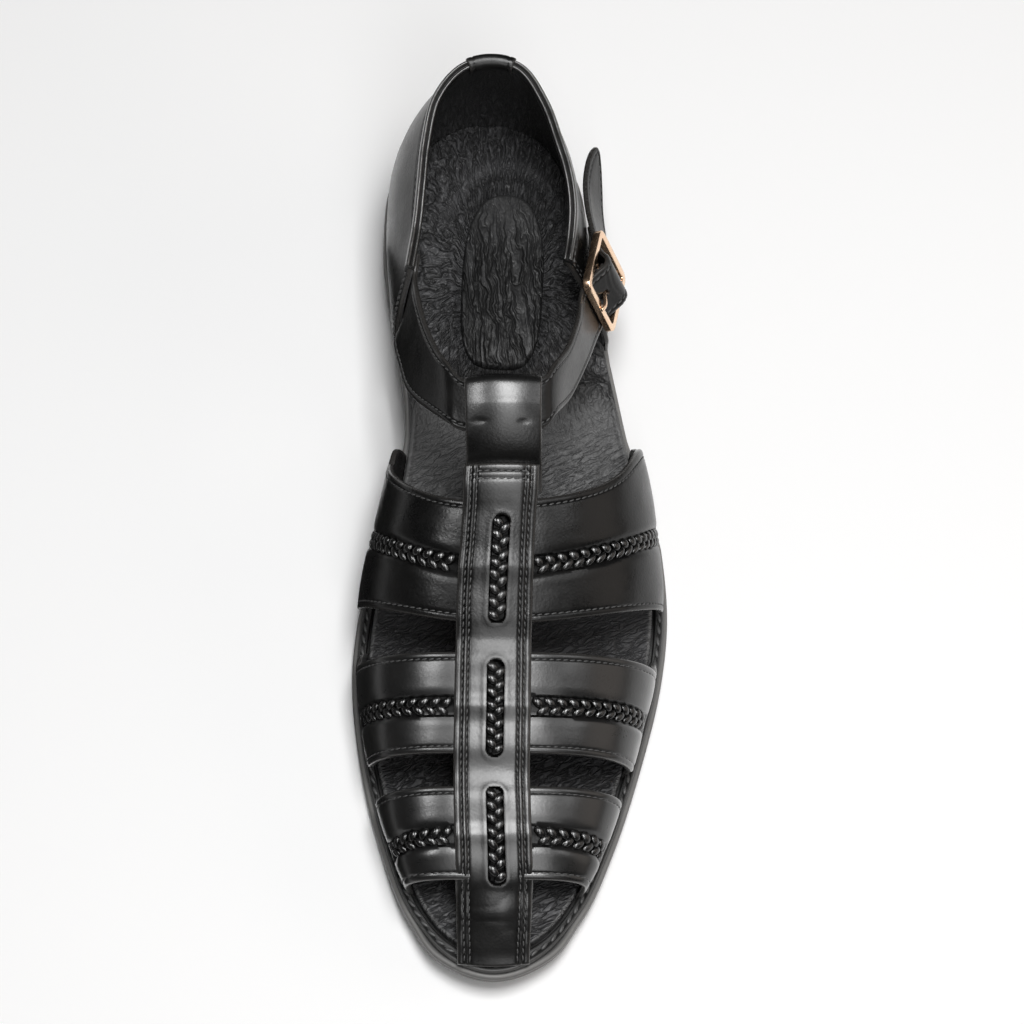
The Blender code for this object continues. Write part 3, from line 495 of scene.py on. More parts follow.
def on_buckle(along, down, out):
    along, down, out = floats(along, down, out)
    return BUCKLE_AT + along[..., None] * ALONG + down[..., None] * DOWN + out[..., None] * OUT


def pad_reach(x, s):
    """Distance from the outline of the heel pad, then the place across and along the pad."""
    side, ahead = PAD_MIDDLE[1] - x, s - PAD_MIDDLE[0]
    across = math.cos(PAD_TURN) * side - math.sin(PAD_TURN) * ahead
    along = math.sin(PAD_TURN) * side + math.cos(PAD_TURN) * ahead
    power = np.where(along < 0.0, *PAD_POWER)
    ratio = (np.abs(across) / PAD_HALF[1]) ** power + (np.abs(along) / PAD_HALF[0]) ** power
    ratio = ratio ** (1.0 / power)
    return np.hypot(across, along) * (1.0 - 1.0 / np.maximum(ratio, 1e-3)), across, along


# Shader nodes
class Value:
    """A number on its way through a finish; sums on it add Math nodes."""

    def __init__(self, finish, socket):
        self.finish = finish
        self.socket = socket

    def math(self, operation, first, second):
        return self.finish.node("ShaderNodeMath", {"operation": operation}, {0: first, 1: second})

    def __add__(self, other):
        return self.math("ADD", self, other)

    def __radd__(self, other):
        return self.math("ADD", other, self)

    def __sub__(self, other):
        return self.math("SUBTRACT", self, other)

    def __rsub__(self, other):
        return self.math("SUBTRACT", other, self)

    def __mul__(self, other):
        return self.math("MULTIPLY", self, other)

    def __rmul__(self, other):
        return self.math("MULTIPLY", other, self)


class Finish:
    """A material with its shader and the nodes that feed it."""

    def __init__(self, name, **constants):
        self.material = bpy.data.materials.new(name)
        self.material.use_nodes = True
        self.tree = self.material.node_tree
        self.shader = self.tree.nodes["Principled BSDF"]
        for socket, value in constants.items():
            self.shader.inputs[socket.replace("_", " ")].default_value = value
        self.place = self.node("ShaderNodeTexCoord", out="Object")

    def node(self, kind, settings=None, sockets=None, out=0):
        made = self.tree.nodes.new(kind)
        for key, value in (settings or {}).items():
            setattr(made, key, value)
        for key, value in (sockets or {}).items():
            if isinstance(value, Value):
                self.tree.links.new(value.socket, made.inputs[key])
            else:
                made.inputs[key].default_value = value
        return Value(self, made.outputs[out])

    def noise(self, scale, detail=2.0, rough=0.5, twist=0.0, place=None):
        return self.node("ShaderNodeTexNoise", {}, {
            "Vector": place or self.place, "Scale": scale, "Detail": detail, "Roughness": rough,
            "Distortion": twist,
        })

    def cells(self, scale):
        return self.node("ShaderNodeTexVoronoi", {"feature": "F1"}, {"Vector": self.place, "Scale": scale})

    def stretched(self, size):
        return self.node("ShaderNodeMapping", {}, {"Vector": self.place, "Scale": size})

    def mark(self, name):
        return self.node("ShaderNodeAttribute", {"attribute_name": name}, out="Fac")

    def span(self, value, low, high, start=0.0, end=1.0):
        return self.node("ShaderNodeMapRange", {}, {0: value, 1: low, 2: high, 3: start, 4: end})

    def mix(self, share, first, second):
        return self.node("ShaderNodeMix", {"data_type": "RGBA"}, {0: share, 6: first, 7: second}, out=2)

    def feed(self, **links):
        for socket, value in links.items():
            self.tree.links.new(value.socket, self.shader.inputs[socket.replace("_", " ")])

    def lay_painted_shade(self, share):
        """Painted shade: dead black laid over the places that share marks."""
        black = self.tree.nodes.new("ShaderNodeBsdfDiffuse")
        black.inputs["Color"].default_value = colour(0.0015)
        both = self.tree.nodes.new("ShaderNodeMixShader")
        for socket, source in enumerate((share.socket, self.shader.outputs[0], black.outputs[0])):
            self.tree.links.new(source, both.inputs[socket])
        self.tree.links.new(both.outputs[0], self.tree.nodes["Material Output"].inputs["Surface"])

    def bump(self, height, strength, distance):
        sockets = {"Height": height, "Strength": strength, "Distance": distance}
        self.feed(Normal=self.node("ShaderNodeBump", {}, sockets))


def colour(value, tint=(1.0, 1.0, 1.0)):
    return (value * tint[0], value * tint[1], value * tint[2], 1.0)


def smooth_leather(name, dark, light, rough, grain, shine=0.35):
    """Black leather; marks tell its worn edges (with a painted highlight on the topline roll and round the
    slots), the slot floors and plait grooves blacked out as painted shade, and its polish.
    """
    f = Finish(name, Specular_IOR_Level=shine, Coat_Roughness=0.3)
    broad = f.noise(70.0, 3.0, 0.55)
    fine = f.noise(900.0, 3.0, 0.6)
    pebble = f.cells(1150.0)
    wear_and_sheen, deep = f.mark("edge"), f.mark("deep")
    hide = f.mix(f.span(broad, 0.35, 0.7), colour(dark), colour(light, (1.0, 0.96, 0.93)))
    # The edge mark lightens worn edges, and on the topline roll and the slot rims it is a painted highlight.
    f.feed(Base_Color=f.mix(wear_and_sheen * 0.8, hide, colour(0.04, (1.0, 0.95, 0.9))))
    cloud = f.span(broad * 0.6 + fine * 0.4, 0.3, 0.7, rough - 0.07, rough + 0.09)
    f.feed(Roughness=cloud - wear_and_sheen * 0.06, Coat_Weight=f.mark("polish") * 0.85)
    f.bump(pebble * 0.6 + fine * 0.5 + f.noise(260.0, 2.0, 0.5, 0.6) * 0.8, grain, 0.0003)
    # Painted shade: the deep mark lays dead black over slot floors and plait grooves.
    f.lay_painted_shade(deep * 0.85)
    return f.material


upper_leather = smooth_leather("smooth_black_leather", 0.003, 0.007, 0.3, 0.14)
plait_leather = smooth_leather("plaited_black_leather", 0.003, 0.007, 0.24, 0.1, 0.75)
strap_leather = smooth_leather("ankle_strap_leather", 0.0035, 0.008, 0.32, 0.14)


def lining_finish(name, dark, light, rough, second=0.35):
    """Matte crinkled leather; marks count its creases, tell their depth and where the forepart begins. The
    crease lines are painted darker as painted shade, and the tone mark lifts the colour as painted light
    where the shoe shades the leather.
    """
    f = Finish(name, Specular_IOR_Level=0.42)
    across, along, depth, fore = (f.mark(key) for key in ("across", "along", "depth", "fore"))
    sway = f.noise(150.0, 2.0) - 0.5
    broad = f.noise(55.0, 3.0, 0.5)
    fine = f.noise(1100.0, 3.0, 0.6)
    slanted = f.node(
        "ShaderNodeMapping", {"vector_type": "TEXTURE"},
        {0: f.place, 2: (0.0, 0.0, 0.45), 3: (0.0052, 0.0017, 0.01)},
    )

    def creases(spot, thin):
        wave = f.noise(1.0, 2.0, 0.55, 0.7, spot)
        wave = f.node("ShaderNodeMath", {"operation": "ABSOLUTE"}, {0: wave - 0.5})
        return f.span(wave, 0.0, thin, 1.0, 0.0)

    def round_spot(size, layer):
        spot = {0: across * size + sway * 1.4, 1: along * size + sway * 0.5, 2: layer}
        return f.node("ShaderNodeCombineXYZ", {}, spot)

    heel = creases(round_spot(1.0, 0.0), 0.15) * (1.0 - second) + creases(round_spot(2.1, 7.0), 0.18) * second
    line = (heel + (creases(slanted, 0.13) * 0.8 - heel) * fore) * depth
    cool = (1.0, 1.0, 1.04)
    pale = f.mix(broad, colour(light), colour(light * 1.4, cool))
    # Painted light: the tone mark lifts the colour where the shoe shades the leather.
    pale = f.mix(f.mark("tone"), pale, colour(light * 2.4, cool))
    # Painted shade: the crease lines are painted dark; the edge mark lightens the rim.
    f.feed(Base_Color=f.mix(f.mark("edge"), f.mix(line, pale, colour(dark)), colour(0.16)))
    f.feed(Roughness=f.span(fine + line * 0.4, 0.3, 0.9, rough - 0.06, rough + 0.12))
    f.bump(fine * 0.12 - line, 1.0, 0.0011)
    return f.material


insole_leather = lining_finish("crinkled_insole_leather", 0.004, 0.034, 0.46)
pad_leather = lining_finish("heel_pad_leather", 0.003, 0.026, 0.46, 0.12)
counter_lining = lining_finish("counter_lining_leather", 0.01, 0.06, 0.5)


def thread_finish():
    f = Finish("waxed_black_thread", Specular_IOR_Level=0.6)
    twist = f.noise(2600.0, 2.0, 0.5, 0.4)
    f.feed(Base_Color=f.mix(twist, colour(0.016), colour(0.1)))
    f.feed(Roughness=f.span(twist, 0.3, 0.7, 0.4, 0.55))
    f.bump(twist, 0.4, 0.0002)
    return f.material


def edge_finish(name, dark, light, rough, bands):
    """Sole stock: fine mould grain with faint level bands in its edge; its edge mark paints a lighter line
    along the rims as a painted highlight.
    """
    f = Finish(name, Specular_IOR_Level=0.45)
    grain = f.noise(1400.0, 3.0, 0.6)
    cloud = f.noise(90.0, 3.0, 0.5)
    band = f.noise(8.0, 2.0, 0.5, 0.0, f.stretched((0.6, 0.6, bands)))
    tone = f.span(cloud * 0.5 + band * 0.5, 0.3, 0.7)
    stock = f.mix(tone, colour(dark), colour(light, (1.0, 0.99, 0.97)))
    stock = f.mix(f.mark("toe"), stock, colour(0.13, (1.0, 0.97, 0.93)))
    # Painted highlight: the edge mark paints a lighter line along the rims of sole, heel and welt.
    f.feed(Base_Color=f.mix(f.mark("edge") * 0.8, stock, colour(light * 6.0, (1.0, 0.98, 0.95))))
    f.feed(Roughness=f.span(cloud, 0.3, 0.7, rough - 0.05, rough + 0.1))
    f.bump(grain * 0.5 + band * 0.7, 0.3, 0.0003)
    return f.material


def brass_finish():
    f = Finish("polished_rose_brass", Metallic=1.0)
    brushed = f.noise(300.0, 4.0, 0.6, 0.0, f.stretched((1.0, 1.0, 7.0)))
    tarnish = f.noise(140.0, 3.0, 0.5)
    f.feed(Base_Color=f.mix(f.span(tarnish, 0.35, 0.75), (1.0, 0.74, 0.53, 1.0), (0.92, 0.62, 0.42, 1.0)))
    f.feed(Roughness=f.span(brushed, 0.3, 0.7, 0.16, 0.3))
    f.bump(brushed, 0.06, 0.0001)
    return f.material


thread = thread_finish()
sole_rubber = edge_finish("black_sole_rubber", 0.016, 0.036, 0.42, 40.0)
welt_leather = edge_finish("black_welt_leather", 0.007, 0.02, 0.42, 12.0)
buckle_brass = brass_finish()


# Making pieces
def row_frame(points):
    p = np.asarray(points, float)
    return np.stack([(p[..., 0] - CENTRE_X), LENGTH / 2 - p[..., 1], p[..., 2]], -1) * 0.001


def edit(*steps):
    bpy.ops.object.mode_set(mode="EDIT")
    bpy.ops.mesh.select_all(action="SELECT")
    for step in steps:
        step()
    bpy.ops.object.mode_set(mode="OBJECT")


def turn_outward():
    bpy.ops.mesh.normals_make_consistent(inside=False)


def pick(*pieces):
    bpy.ops.object.select_all(action="DESELECT")
    for piece in pieces:
        piece.select_set(True)
    bpy.context.view_layer.objects.active = pieces[0]


def corners_of(piece):
    co = np.empty(len(piece.data.vertices) * 3)
    piece.data.vertices.foreach_get("co", co)
    return co.reshape(-1, 3)


def bent_grid(name, rows, columns, deep=False):
    """Flat grid, or a slab of it, with the row, the column and the level of each corner."""
    bpy.ops.object.select_all(action="DESELECT")
    bpy.ops.mesh.primitive_grid_add(x_subdivisions=columns - 1, y_subdivisions=rows - 1, size=1.0)
    piece = bpy.context.object
    piece.name = piece.data.name = name
    if deep:
        edit(lambda: bpy.ops.mesh.extrude_region_move(TRANSFORM_OT_translate={"value": (0.0, 0.0, 1.0)}))
    co = corners_of(piece)
    i = np.rint((co[:, 1] + 0.5) * (rows - 1)).astype(int)
    j = np.rint((co[:, 0] + 0.5) * (columns - 1)).astype(int)
    return piece, i, j, co[:, 2:] > 0.5


def set_places(piece, places, marks):
    piece.data.vertices.foreach_set("co", np.ascontiguousarray(places, dtype=np.float32).ravel())
    for name, values in marks.items():
        mark = piece.data.attributes.new(name, "FLOAT", "POINT")
        mark.data.foreach_set("value", values.astype(np.float32).ravel())
    piece.data.update()


def dress(piece, finish, slot, *nodes, angle=38.0):
    pick(piece)
    bpy.ops.object.shade_smooth_by_angle(angle=math.radians(angle))
    piece.data.materials.clear()
    piece.data.materials.append(finish)
    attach(piece, "root")
    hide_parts(*nodes)
    return piece


def laid(name, under, over, finish, slot, node, **marks):
    """Closed sheet of leather between two grids of points."""
    rows, columns = over.shape[:2]
    piece, i, j, upper = bent_grid(name, rows, columns, deep=True)
    places = np.where(upper, row_frame(over)[i, j], row_frame(under)[i, j])
    marks = {key: np.broadcast_to(value, (rows, columns))[i, j] for key, value in marks.items()}
    set_places(piece, places, marks)
    edit(turn_outward)
    return dress(piece, finish, slot, node)


def wrapped(name, rings, hoop=False, **marks):
    """Closed skin over rings of points; a hoop joins its last ring to its first."""
    marks = {key: np.broadcast_to(value, rings.shape[:2]) for key, value in marks.items()}
    close = lambda values, axis: np.concatenate([values, values.take([0], axis)], axis)
    rings = close(rings, 1)
    marks = {key: close(value, 1) for key, value in marks.items()}
    if hoop:
        rings = close(rings, 0)
        marks = {key: close(value, 0) for key, value in marks.items()}
    piece, i, j, _ = bent_grid(name, *rings.shape[:2])
    set_places(piece, row_frame(rings)[i, j], {key: value[i, j] for key, value in marks.items()})
    edit(
        lambda: bpy.ops.mesh.remove_doubles(threshold=1e-6),
        lambda: bpy.ops.mesh.select_all(action="SELECT"),
        lambda: bpy.ops.mesh.fill_holes(sides=0),
        lambda: bpy.ops.mesh.select_all(action="SELECT"),
        turn_outward,
    )
    return piece


def joined(name, pieces):
    pick(*pieces)
    bpy.ops.object.join()
    pieces[0].name = pieces[0].data.name = name
    return pieces[0]


def modelled_ball(segments, rings):
    """Corners and faces of a ball with its poles on Y, for a shape that repeats."""
    bpy.ops.object.select_all(action="DESELECT")
    bpy.ops.mesh.primitive_uv_sphere_add(
        segments=segments, ring_count=rings, radius=1.0, rotation=(math.pi / 2, 0.0, 0.0),
    )
    bpy.ops.object.transform_apply(rotation=True)
    ball = bpy.context.object
    shape = corners_of(ball), [list(face.vertices) for face in ball.data.polygons]
    bpy.data.objects.remove(ball)
    return shape


def gathered(name, copies, faces):
    """One piece from the copies of a shape, each given by its corners."""
    count = len(copies[0])
    mesh = bpy.data.meshes.new(name)
    mesh.from_pydata(
        row_frame(np.concatenate(copies)).tolist(), [],
        [[corner + k * count for corner in face] for k in range(len(copies)) for face in faces],
    )
    piece = bpy.data.objects.new(name, mesh)
    bpy.context.scene.collection.objects.link(piece)
    pick(piece)
    edit(turn_outward)
    return piece


# Stitches: half width, half length and half height of one stitch
FINE_STITCH = (0.27, 0.92, 0.24)
END_STITCH = (0.3, 1.0, 0.26)
WELT_STITCH = (0.62, 1.75, 0.42)
STITCH, STITCH_FACES = modelled_ball(8, 6)
STITCH = STITCH + np.array([0.0, 0.0, 1.0]) * (0.25 * (1.0 - STITCH[:, 1:2] ** 2))


def stitch_run(face, height, pitch=2.4, size=FINE_STITCH, slant=8.0):
    """Run of stitches along a face that gives its points at any height."""
    return face(height), face(height + 1.0), pitch, size, slant


def sewn(name, runs, slot, *nodes):
    """Rows of stitches: each run is its line, the same line 1 mm higher, then pitch, half sizes and slant."""
    copies = []
    for line, above, pitch, size, slant in runs:
        length = run_length(line)
        number = max(int(round(length[-1] / pitch)), 1)
        at = (np.arange(number) + 0.5) * length[-1] / number
        spot = lambda values, where: np.stack([np.interp(where, length, values[:, k]) for k in range(3)], -1)
        middle = spot(line, at)
        ahead = unit(spot(line, at + 0.4) - spot(line, at - 0.4))
        up = spot(above - line, at)
        up = unit(up - ahead * np.sum(up * ahead, -1, keepdims=True))
        side = np.cross(ahead, up)
        cos, sin = math.cos(math.radians(slant)), math.sin(math.radians(slant))
        ways = (side * cos - ahead * sin, ahead * cos + side * sin, up)
        copies += list(middle[:, None] + sum(
            way[:, None] * (STITCH[:, k] * size[k])[None, :, None] for k, way in enumerate(ways)
        ))
    return dress(gathered(name, copies, STITCH_FACES), thread, slot, *nodes, angle=60.0)


EDGE_STEPS = np.array((0.0, 0.07, 0.22, 0.45, 0.8, 1.2, 1.55, 1.85, 2.1, 2.35, 2.6, 2.9, 3.4))


def across_steps(width, step, edge=EDGE_STEPS):
    """Places across a strap, close together near both of its edges, as shares of its width."""
    inner = np.linspace(edge[-1], width - edge[-1], max(int(round((width - 2 * edge[-1]) / step)), 1) + 1)
    return np.concatenate([edge[:-1], inner, (width - edge[:-1])[::-1]]) / width


def side_near(share, width):
    """Distance to the nearer side of a strap."""
    return np.minimum(share, 1.0 - share) * width


def leather_face(near, thick, radius=0.7, stitch=STITCH_INSET, depth=0.26):
    """Height of a stitched leather face from the distance to its edge, with the mark of the worn edge."""
    height = thick * (0.5 + 0.5 * rolled(near, radius))
    height = height - depth * hill(near - stitch, 0.34) + 0.07 * hill(near - 1.2, 0.6)
    return height, hill(near, 0.6)


# Cross straps
STRAP_STEP = 0.9


def girth_rows(strap, lateral):
    angles = np.linspace(-90.0, 90.0, 361)
    length = run_length(strap_point(strap, 0.5, lateral, angles, 0.0))
    return np.interp(np.linspace(0.0, length[-1], int(length[-1] / STRAP_STEP) + 1), length, angles)


def plait_middle(rows, angle):
    return np.interp(angle, (rows[0], rows[1]), (rows[2], rows[3]))


vamp_runs = []
for number, (label, strap) in enumerate(STRAPS.items()):
    medial_angles, lateral_angles = (girth_rows(strap, side) for side in (False, True))
    angle = [(-180.0, -130.0), medial_angles, lateral_angles[::-1][1:], (-130.0, -180.0)]
    angle = np.concatenate(angle)[:, None]
    lateral = (np.arange(len(angle)) >= len(medial_angles) + 2)[:, None]
    width = strap_width(strap, lateral, angle)
    share = across_steps(float(np.median(width)), 0.95)[None, :]
    height, edge = leather_face(side_near(share, width), LEATHER)
    rows = STRAP_PLAITS[label]
    middle = np.where(lateral, plait_middle(rows[1], angle), plait_middle(rows[0], angle))
    reach = ease((angle - np.where(lateral, rows[1][0], rows[0][0]) + 3.0) / 5.0)
    aside = np.abs(share - middle) * width
    groove = 0.35 * hill(aside, 4.2) + 0.9 * ease((3.5 - aside) / 0.8) - 0.15 * hill(aside - 5.2, 1.8)
    half_way = np.where(share < middle, share / middle, (1.0 - share) / (1.0 - middle))
    height = height - reach * groove + 0.4 * np.sin(math.pi * half_way) * ease((angle + 40.0) / 60.0)
    # Thinner under the strip, so that the strap doesn't show in the slots
    height = height - 1.45 * ease((angle - 80.0) / 4.0)
    walk, back = STRAP_STEP * np.arange(1, len(angle) + 1)[:, None], share * width
    height = height + 0.16 * ruffle(walk / 15.0, back / 12.0, number + 1)
    height = height + 0.05 * ruffle(walk / 5.0, back / 5.0, number + 5)
    point = lambda h: strap_point(strap, share, lateral, angle, h)
    polish = 0.0 if label == "instep" else np.where(lateral, 1.0, 1.18)
    # The deep mark blacks out the groove under the plait: painted shade.
    laid(
        label + "_strap", point(np.zeros_like(height)), point(height), upper_leather, "upper", "vamp",
        edge=edge, polish=polish, deep=reach * ease((3.1 - aside) / 0.9),
    )
    for side, angles in ((False, medial_angles), (True, lateral_angles)):
        angles = angles[(angles > -55.0) & (angles < 84.0)]
        seam = STITCH_INSET / strap_width(strap, side, angles)
        for inset in (seam, 1.0 - seam):
            on_seam = lambda h: strap_point(strap, inset, side, angles, h)
            vamp_runs.append(stitch_run(on_seam, LEATHER - 0.1, 2.3, FINE_STITCH, 9.0))


# Centre strip
def slot_distance(s, x):
    """Distance from the line of the nearest plait slot, measured on the strip."""
    nearest = np.full(np.broadcast(s, x).shape, 99.0)
    for start, end in STRIP_PLAITS.values():
        beyond = np.maximum(np.maximum(start + 2.7 - s, s - end + 2.7), 0.0) * 1.05
        nearest = np.minimum(nearest, np.hypot(beyond, x - section(s, 1) - STRIP_SIDE))
    return nearest


strip_s = np.concatenate([
    (149.0, 149.07, 149.25, 149.5, 149.9), np.arange(150.3, 295.2, 0.46),
    (295.3, 295.6, 295.85, 295.95, 296.0),
])[:, None]
edge_steps = np.array((
    0.0, 0.06, 0.2, 0.4, 0.7, 1.1, 1.5, 1.8, 2.05, 2.3, 2.55, 2.8, 3.1, 3.4, 3.7, 4.0, 4.3, 4.6, 5.0, 5.8,
    6.8,
))
slot_steps = np.array((
    7.4, 7.9, 8.4, 8.8, 9.1, 9.35, 9.55, 9.75, 9.95, 10.2, 10.6, 11.3, 12.1, 12.9, 13.7, 14.35, 14.75,
    15.0, 15.2, 15.4, 15.6, 15.85, 16.2,
))
strip_across = np.concatenate([edge_steps, slot_steps, 2 * STRIP_HALF - edge_steps[::-1]]) / STRIP_HALF - 1.0
strip_x = section(strip_s, 1) + strip_across[None, :] * read_off(STRIP_WIDTH, strip_s)
strip_side = (1.0 - np.abs(strip_across))[None, :] * read_off(STRIP_WIDTH, strip_s)
near = np.minimum(strip_side, np.minimum(strip_s - STRIP_BACK, STRIP_FRONT - strip_s))
relief = -0.8 * (1.0 - rolled(near, 0.7))
relief = relief + 0.14 * hill(strip_side - 3.15, 0.45) + 0.1 * hill(strip_side - 1.2, 0.6)
for inset in STRIP_SEAMS:
    relief = relief - 0.3 * hill(strip_side - inset, 0.36)
for inset in STRIP_END_SEAMS:
    relief = relief - 0.28 * hill(strip_s - STRIP_BACK - inset, 0.4) * (strip_side > 2.0)
slot = slot_distance(strip_s, strip_x)
relief = relief - 1.7 * ease((SLOT_HALF - slot) / 0.5) + 0.1 * hill(slot - 3.5, 0.9)
relief = relief + 0.13 * ruffle(strip_s / 9.0, strip_x / 9.0, 9)
relief = relief + 0.04 * ruffle(strip_s / 3.5, strip_x / 4.0, 12)
toe_rub = ease((strip_s - 275.0) / 4.0) * ease((290.0 - strip_s) / 4.0)
relief = relief - 0.16 * toe_rub * folds(strip_s / 3.2, strip_x / 16.0, 3)
face = read_off(STRIP_FACE_RUN, strip_s)
toe_gleam = 0.7 * ease((strip_x - section(strip_s, 1) - 0.5) / 2.0) * ease((strip_s - 273.0) / 3.0)
toe_gleam = toe_gleam * ease((288.0 - strip_s) / 7.0)
# Painted light on the strip: the edge mark lightens its worn rims and, faintly, the slot rims as a painted
# highlight; the deep mark blacks out the slot floors as painted shade.
laid(
    "centre_strip", over_crown(strip_s, strip_x, np.minimum(face - 1.6, face + relief - 0.25)),
    over_crown(strip_s, strip_x, face + relief), upper_leather, "upper", "vamp",
    edge=np.maximum(hill(near, 0.7), 0.15 * hill(slot - 2.9, 0.4)), deep=ease((2.8 - slot) / 0.3),
    polish=(np.interp(strip_s, *STRIP_POLISH) + toe_gleam) * ease((slot - 2.7) / 0.3),
)


def on_strip_face(s, x):
    return lambda h: over_crown(s, x, read_off(STRIP_FACE_RUN, s) + h)


run_s = np.linspace(150.0, 294.6, 330)
for side in (-1.0, 1.0):
    for inset in STRIP_SEAMS:
        run_x = section(run_s, 1) + side * (read_off(STRIP_WIDTH, run_s) - inset)
        vamp_runs.append(stitch_run(on_strip_face(run_s, run_x), -0.13, 2.3, FINE_STITCH, 7.0 * side))
run_x = section(150.0, 1) + np.linspace(-7.6, 7.6, 40)
for inset in STRIP_END_SEAMS:
    end_face = on_strip_face(np.full(40, STRIP_BACK + inset), run_x)
    vamp_runs.append(stitch_run(end_face, -0.12, 2.5, END_STITCH, 6.0))
sewn("vamp_thread", vamp_runs, "upper", "vamp")

# Plaits: pitch, place aside of the leaves, half length, half width, half height
STRIP_PLAIT = (4.1, 1.0, 2.55, 1.4, 0.66)
STRAP_PLAIT = (4.0, 1.15, 2.5, 1.28, 0.6)
LEAF_LEAN = 0.72
LEAF_CURL = 0.3
LEAF, LEAF_FACES = modelled_ball(10, 8)


def plait(name, length, place, shape, node):
    """Two rows of leaves that bend inward and tuck under each other; place lays side, way along and rise."""
    pitch, aside, half_long, half_wide, half_tall = shape
    across, along, up = LEAF.T
    lean = LEAF_LEAN + LEAF_CURL * along
    wide = across * half_wide * (1.0 - 0.16 * along)
    inward = half_long * (math.cos(LEAF_LEAN) - np.cos(lean)) / LEAF_CURL + wide * np.cos(lean)
    onward = half_long * (np.sin(lean) - math.sin(LEAF_LEAN)) / LEAF_CURL - wide * np.sin(lean)
    rise = up * half_tall - np.where(along > 0.0, 0.75, 0.4) * along ** 2
    count = int(round(length / pitch * 2.0)) - 1
    leaves = []
    for k in range(count):
        side = 1.0 if k % 2 else -1.0
        y = np.clip((k + 1.0) * length / (count + 1.0) + onward, 0.1, length - 0.1)
        tuck = 0.35 * ease(1.0 - np.minimum(y, length - y) / 1.6)
        leaves.append(place(side * (aside - inward), y, rise - tuck))
    dress(gathered(name, leaves, LEAF_FACES), plait_leather, "plait", node, angle=60.0)


for label, (start, end) in STRIP_PLAITS.items():
    def on_strip(side, along, rise):
        s = start + 0.3 + along / 1.06
        return over_crown(s, section(s, 1) + STRIP_SIDE + side, read_off(STRIP_FACE_RUN, s) - 0.3 + rise)

    plait(label + "_strip_plait", (end - start - 0.6) * 1.06, on_strip, STRIP_PLAIT, label + "_strip_braid")
for label, strap in STRAPS.items():
    for lateral, side_name in ((False, "_medial"), (True, "_lateral")):
        rows = STRAP_PLAITS[label][int(lateral)]
        angles = np.linspace(rows[1], rows[0], 121)
        reach = run_length(strap_point(strap, plait_middle(rows, angles), lateral, angles, LEATHER))

        def on_strap(side, along, rise):
            angle = np.interp(along, reach, angles)
            across = plait_middle(rows, angle) + side / strap_width(strap, lateral, angle)
            return strap_point(strap, across, lateral, angle, LEATHER - 0.25 + rise)

        plait(label + side_name + "_plait", reach[-1], on_strap, STRAP_PLAIT, label + side_name + "_braid")

# Instep loop
LOOP_ROWS = 150
LOOP_DENTS = ((-3.6, 136.6), (8.2, 136.8))
loop_path = even(smooth(LOOP, steps=12), LOOP_ROWS)
loop_s, loop_high = loop_path[:, :1], loop_path[:, 1:]
loop_side = -left_of(loop_path)
loop_share = across_steps(2 * LOOP_HALF, 0.9, EDGE_STEPS[:8])[None, :]
loop_near = side_near(loop_share, 2 * LOOP_HALF)
loop_x = LOOP_MIDDLE + (LOOP_HALF - LOOP_DRAW * loop_high) * (2.0 * loop_share - 1.0)


def loop_face(sign):
    lift = LOOP_LEATHER / 2.0 * cut_edge(loop_near, 0.75)
    if sign < 0.0:
        outer_run = ease((np.arange(LOOP_ROWS)[:, None] - 70.0) / 8.0)
        lift = lift + 0.12 * ruffle(loop_s / 9.0, loop_x / 7.0, 21)
        for x, s in LOOP_DENTS:
            lift = lift - 0.3 * hill(loop_x - x, 1.5) * hill(loop_s - s, 0.8) * outer_run
        crowned = hill((loop_x - LOOP_MIDDLE) / LOOP_HALF, 0.8) * hill(loop_s - 131.0, 9.0)
        lift = lift + 0.35 * crowned * outer_run
    path = loop_path[:, None] + np.broadcast_to(lift, loop_x.shape)[..., None] * loop_side[:, None] * sign
    return over_crown(path[..., 0], loop_x, path[..., 1])


laid(
    "instep_loop_leather", loop_face(1.0), loop_face(-1.0), upper_leather, "upper", "instep_loop",
    edge=hill(loop_near, 0.6), polish=ease((143.0 - loop_s) / 13.0),
)

# Counter: outer leather, lining, bound topline
COUNTER_HIGH = 50.0
COUNTER_LONG = 205.0
COUNTER_TOP_SEAM = 3.9
COUNTER_FRONT_SEAMS = (2.25, 4.2)
BACK_SEAM = 2.2
k_down = np.concatenate([EDGE_STEPS, (4.0, 4.8, 5.8, 7.0), np.arange(8.4, COUNTER_HIGH, 1.5)])
counter_k = np.concatenate([(-1.0, -0.5), (1.0 - k_down / COUNTER_HIGH)[::-1]])[:, None]
counter_w = across_steps(COUNTER_LONG, 1.25)[None, :]
front_near = side_near(counter_w, COUNTER_LONG)
top_near = (1.0 - counter_k) * COUNTER_HIGH
outer = LEATHER * (0.3 + 0.7 * rolled(front_near, 1.0)) - 0.9 * (1.0 - rolled(top_near, 0.9))
outer = outer - 0.26 * hill(top_near - COUNTER_TOP_SEAM, 0.36)
for inset in COUNTER_FRONT_SEAMS:
    outer = outer - 0.26 * hill(front_near - inset, 0.36)
outer = outer + 0.22 * ruffle(counter_w * 14.0, counter_k * 3.5, 31) * ease(top_near / 8.0)
outer = outer + 0.05 * ruffle(counter_w * 40.0, counter_k * 10.0, 33)
from_seam = np.abs(counter_w - 0.5) * COUNTER_LONG
seam = 0.32 * hill(from_seam, 0.45) + 0.22 * hill(from_seam - BACK_SEAM, 0.36)
outer = outer - seam * ease((top_near - 14.0) / 3.0)
laid(
    "counter_leather", counter_point(counter_w, counter_k, 0.45), counter_point(counter_w, counter_k, outer),
    upper_leather, "upper", "counter", edge=np.maximum(hill(front_near, 0.7), hill(top_near, 0.7)),
)
lining_w = np.linspace(0.004, 0.996, 260)[None, :]
lining_k = np.concatenate([(-0.2, 0.0), np.linspace(0.02, 0.985, 62)])[:, None]
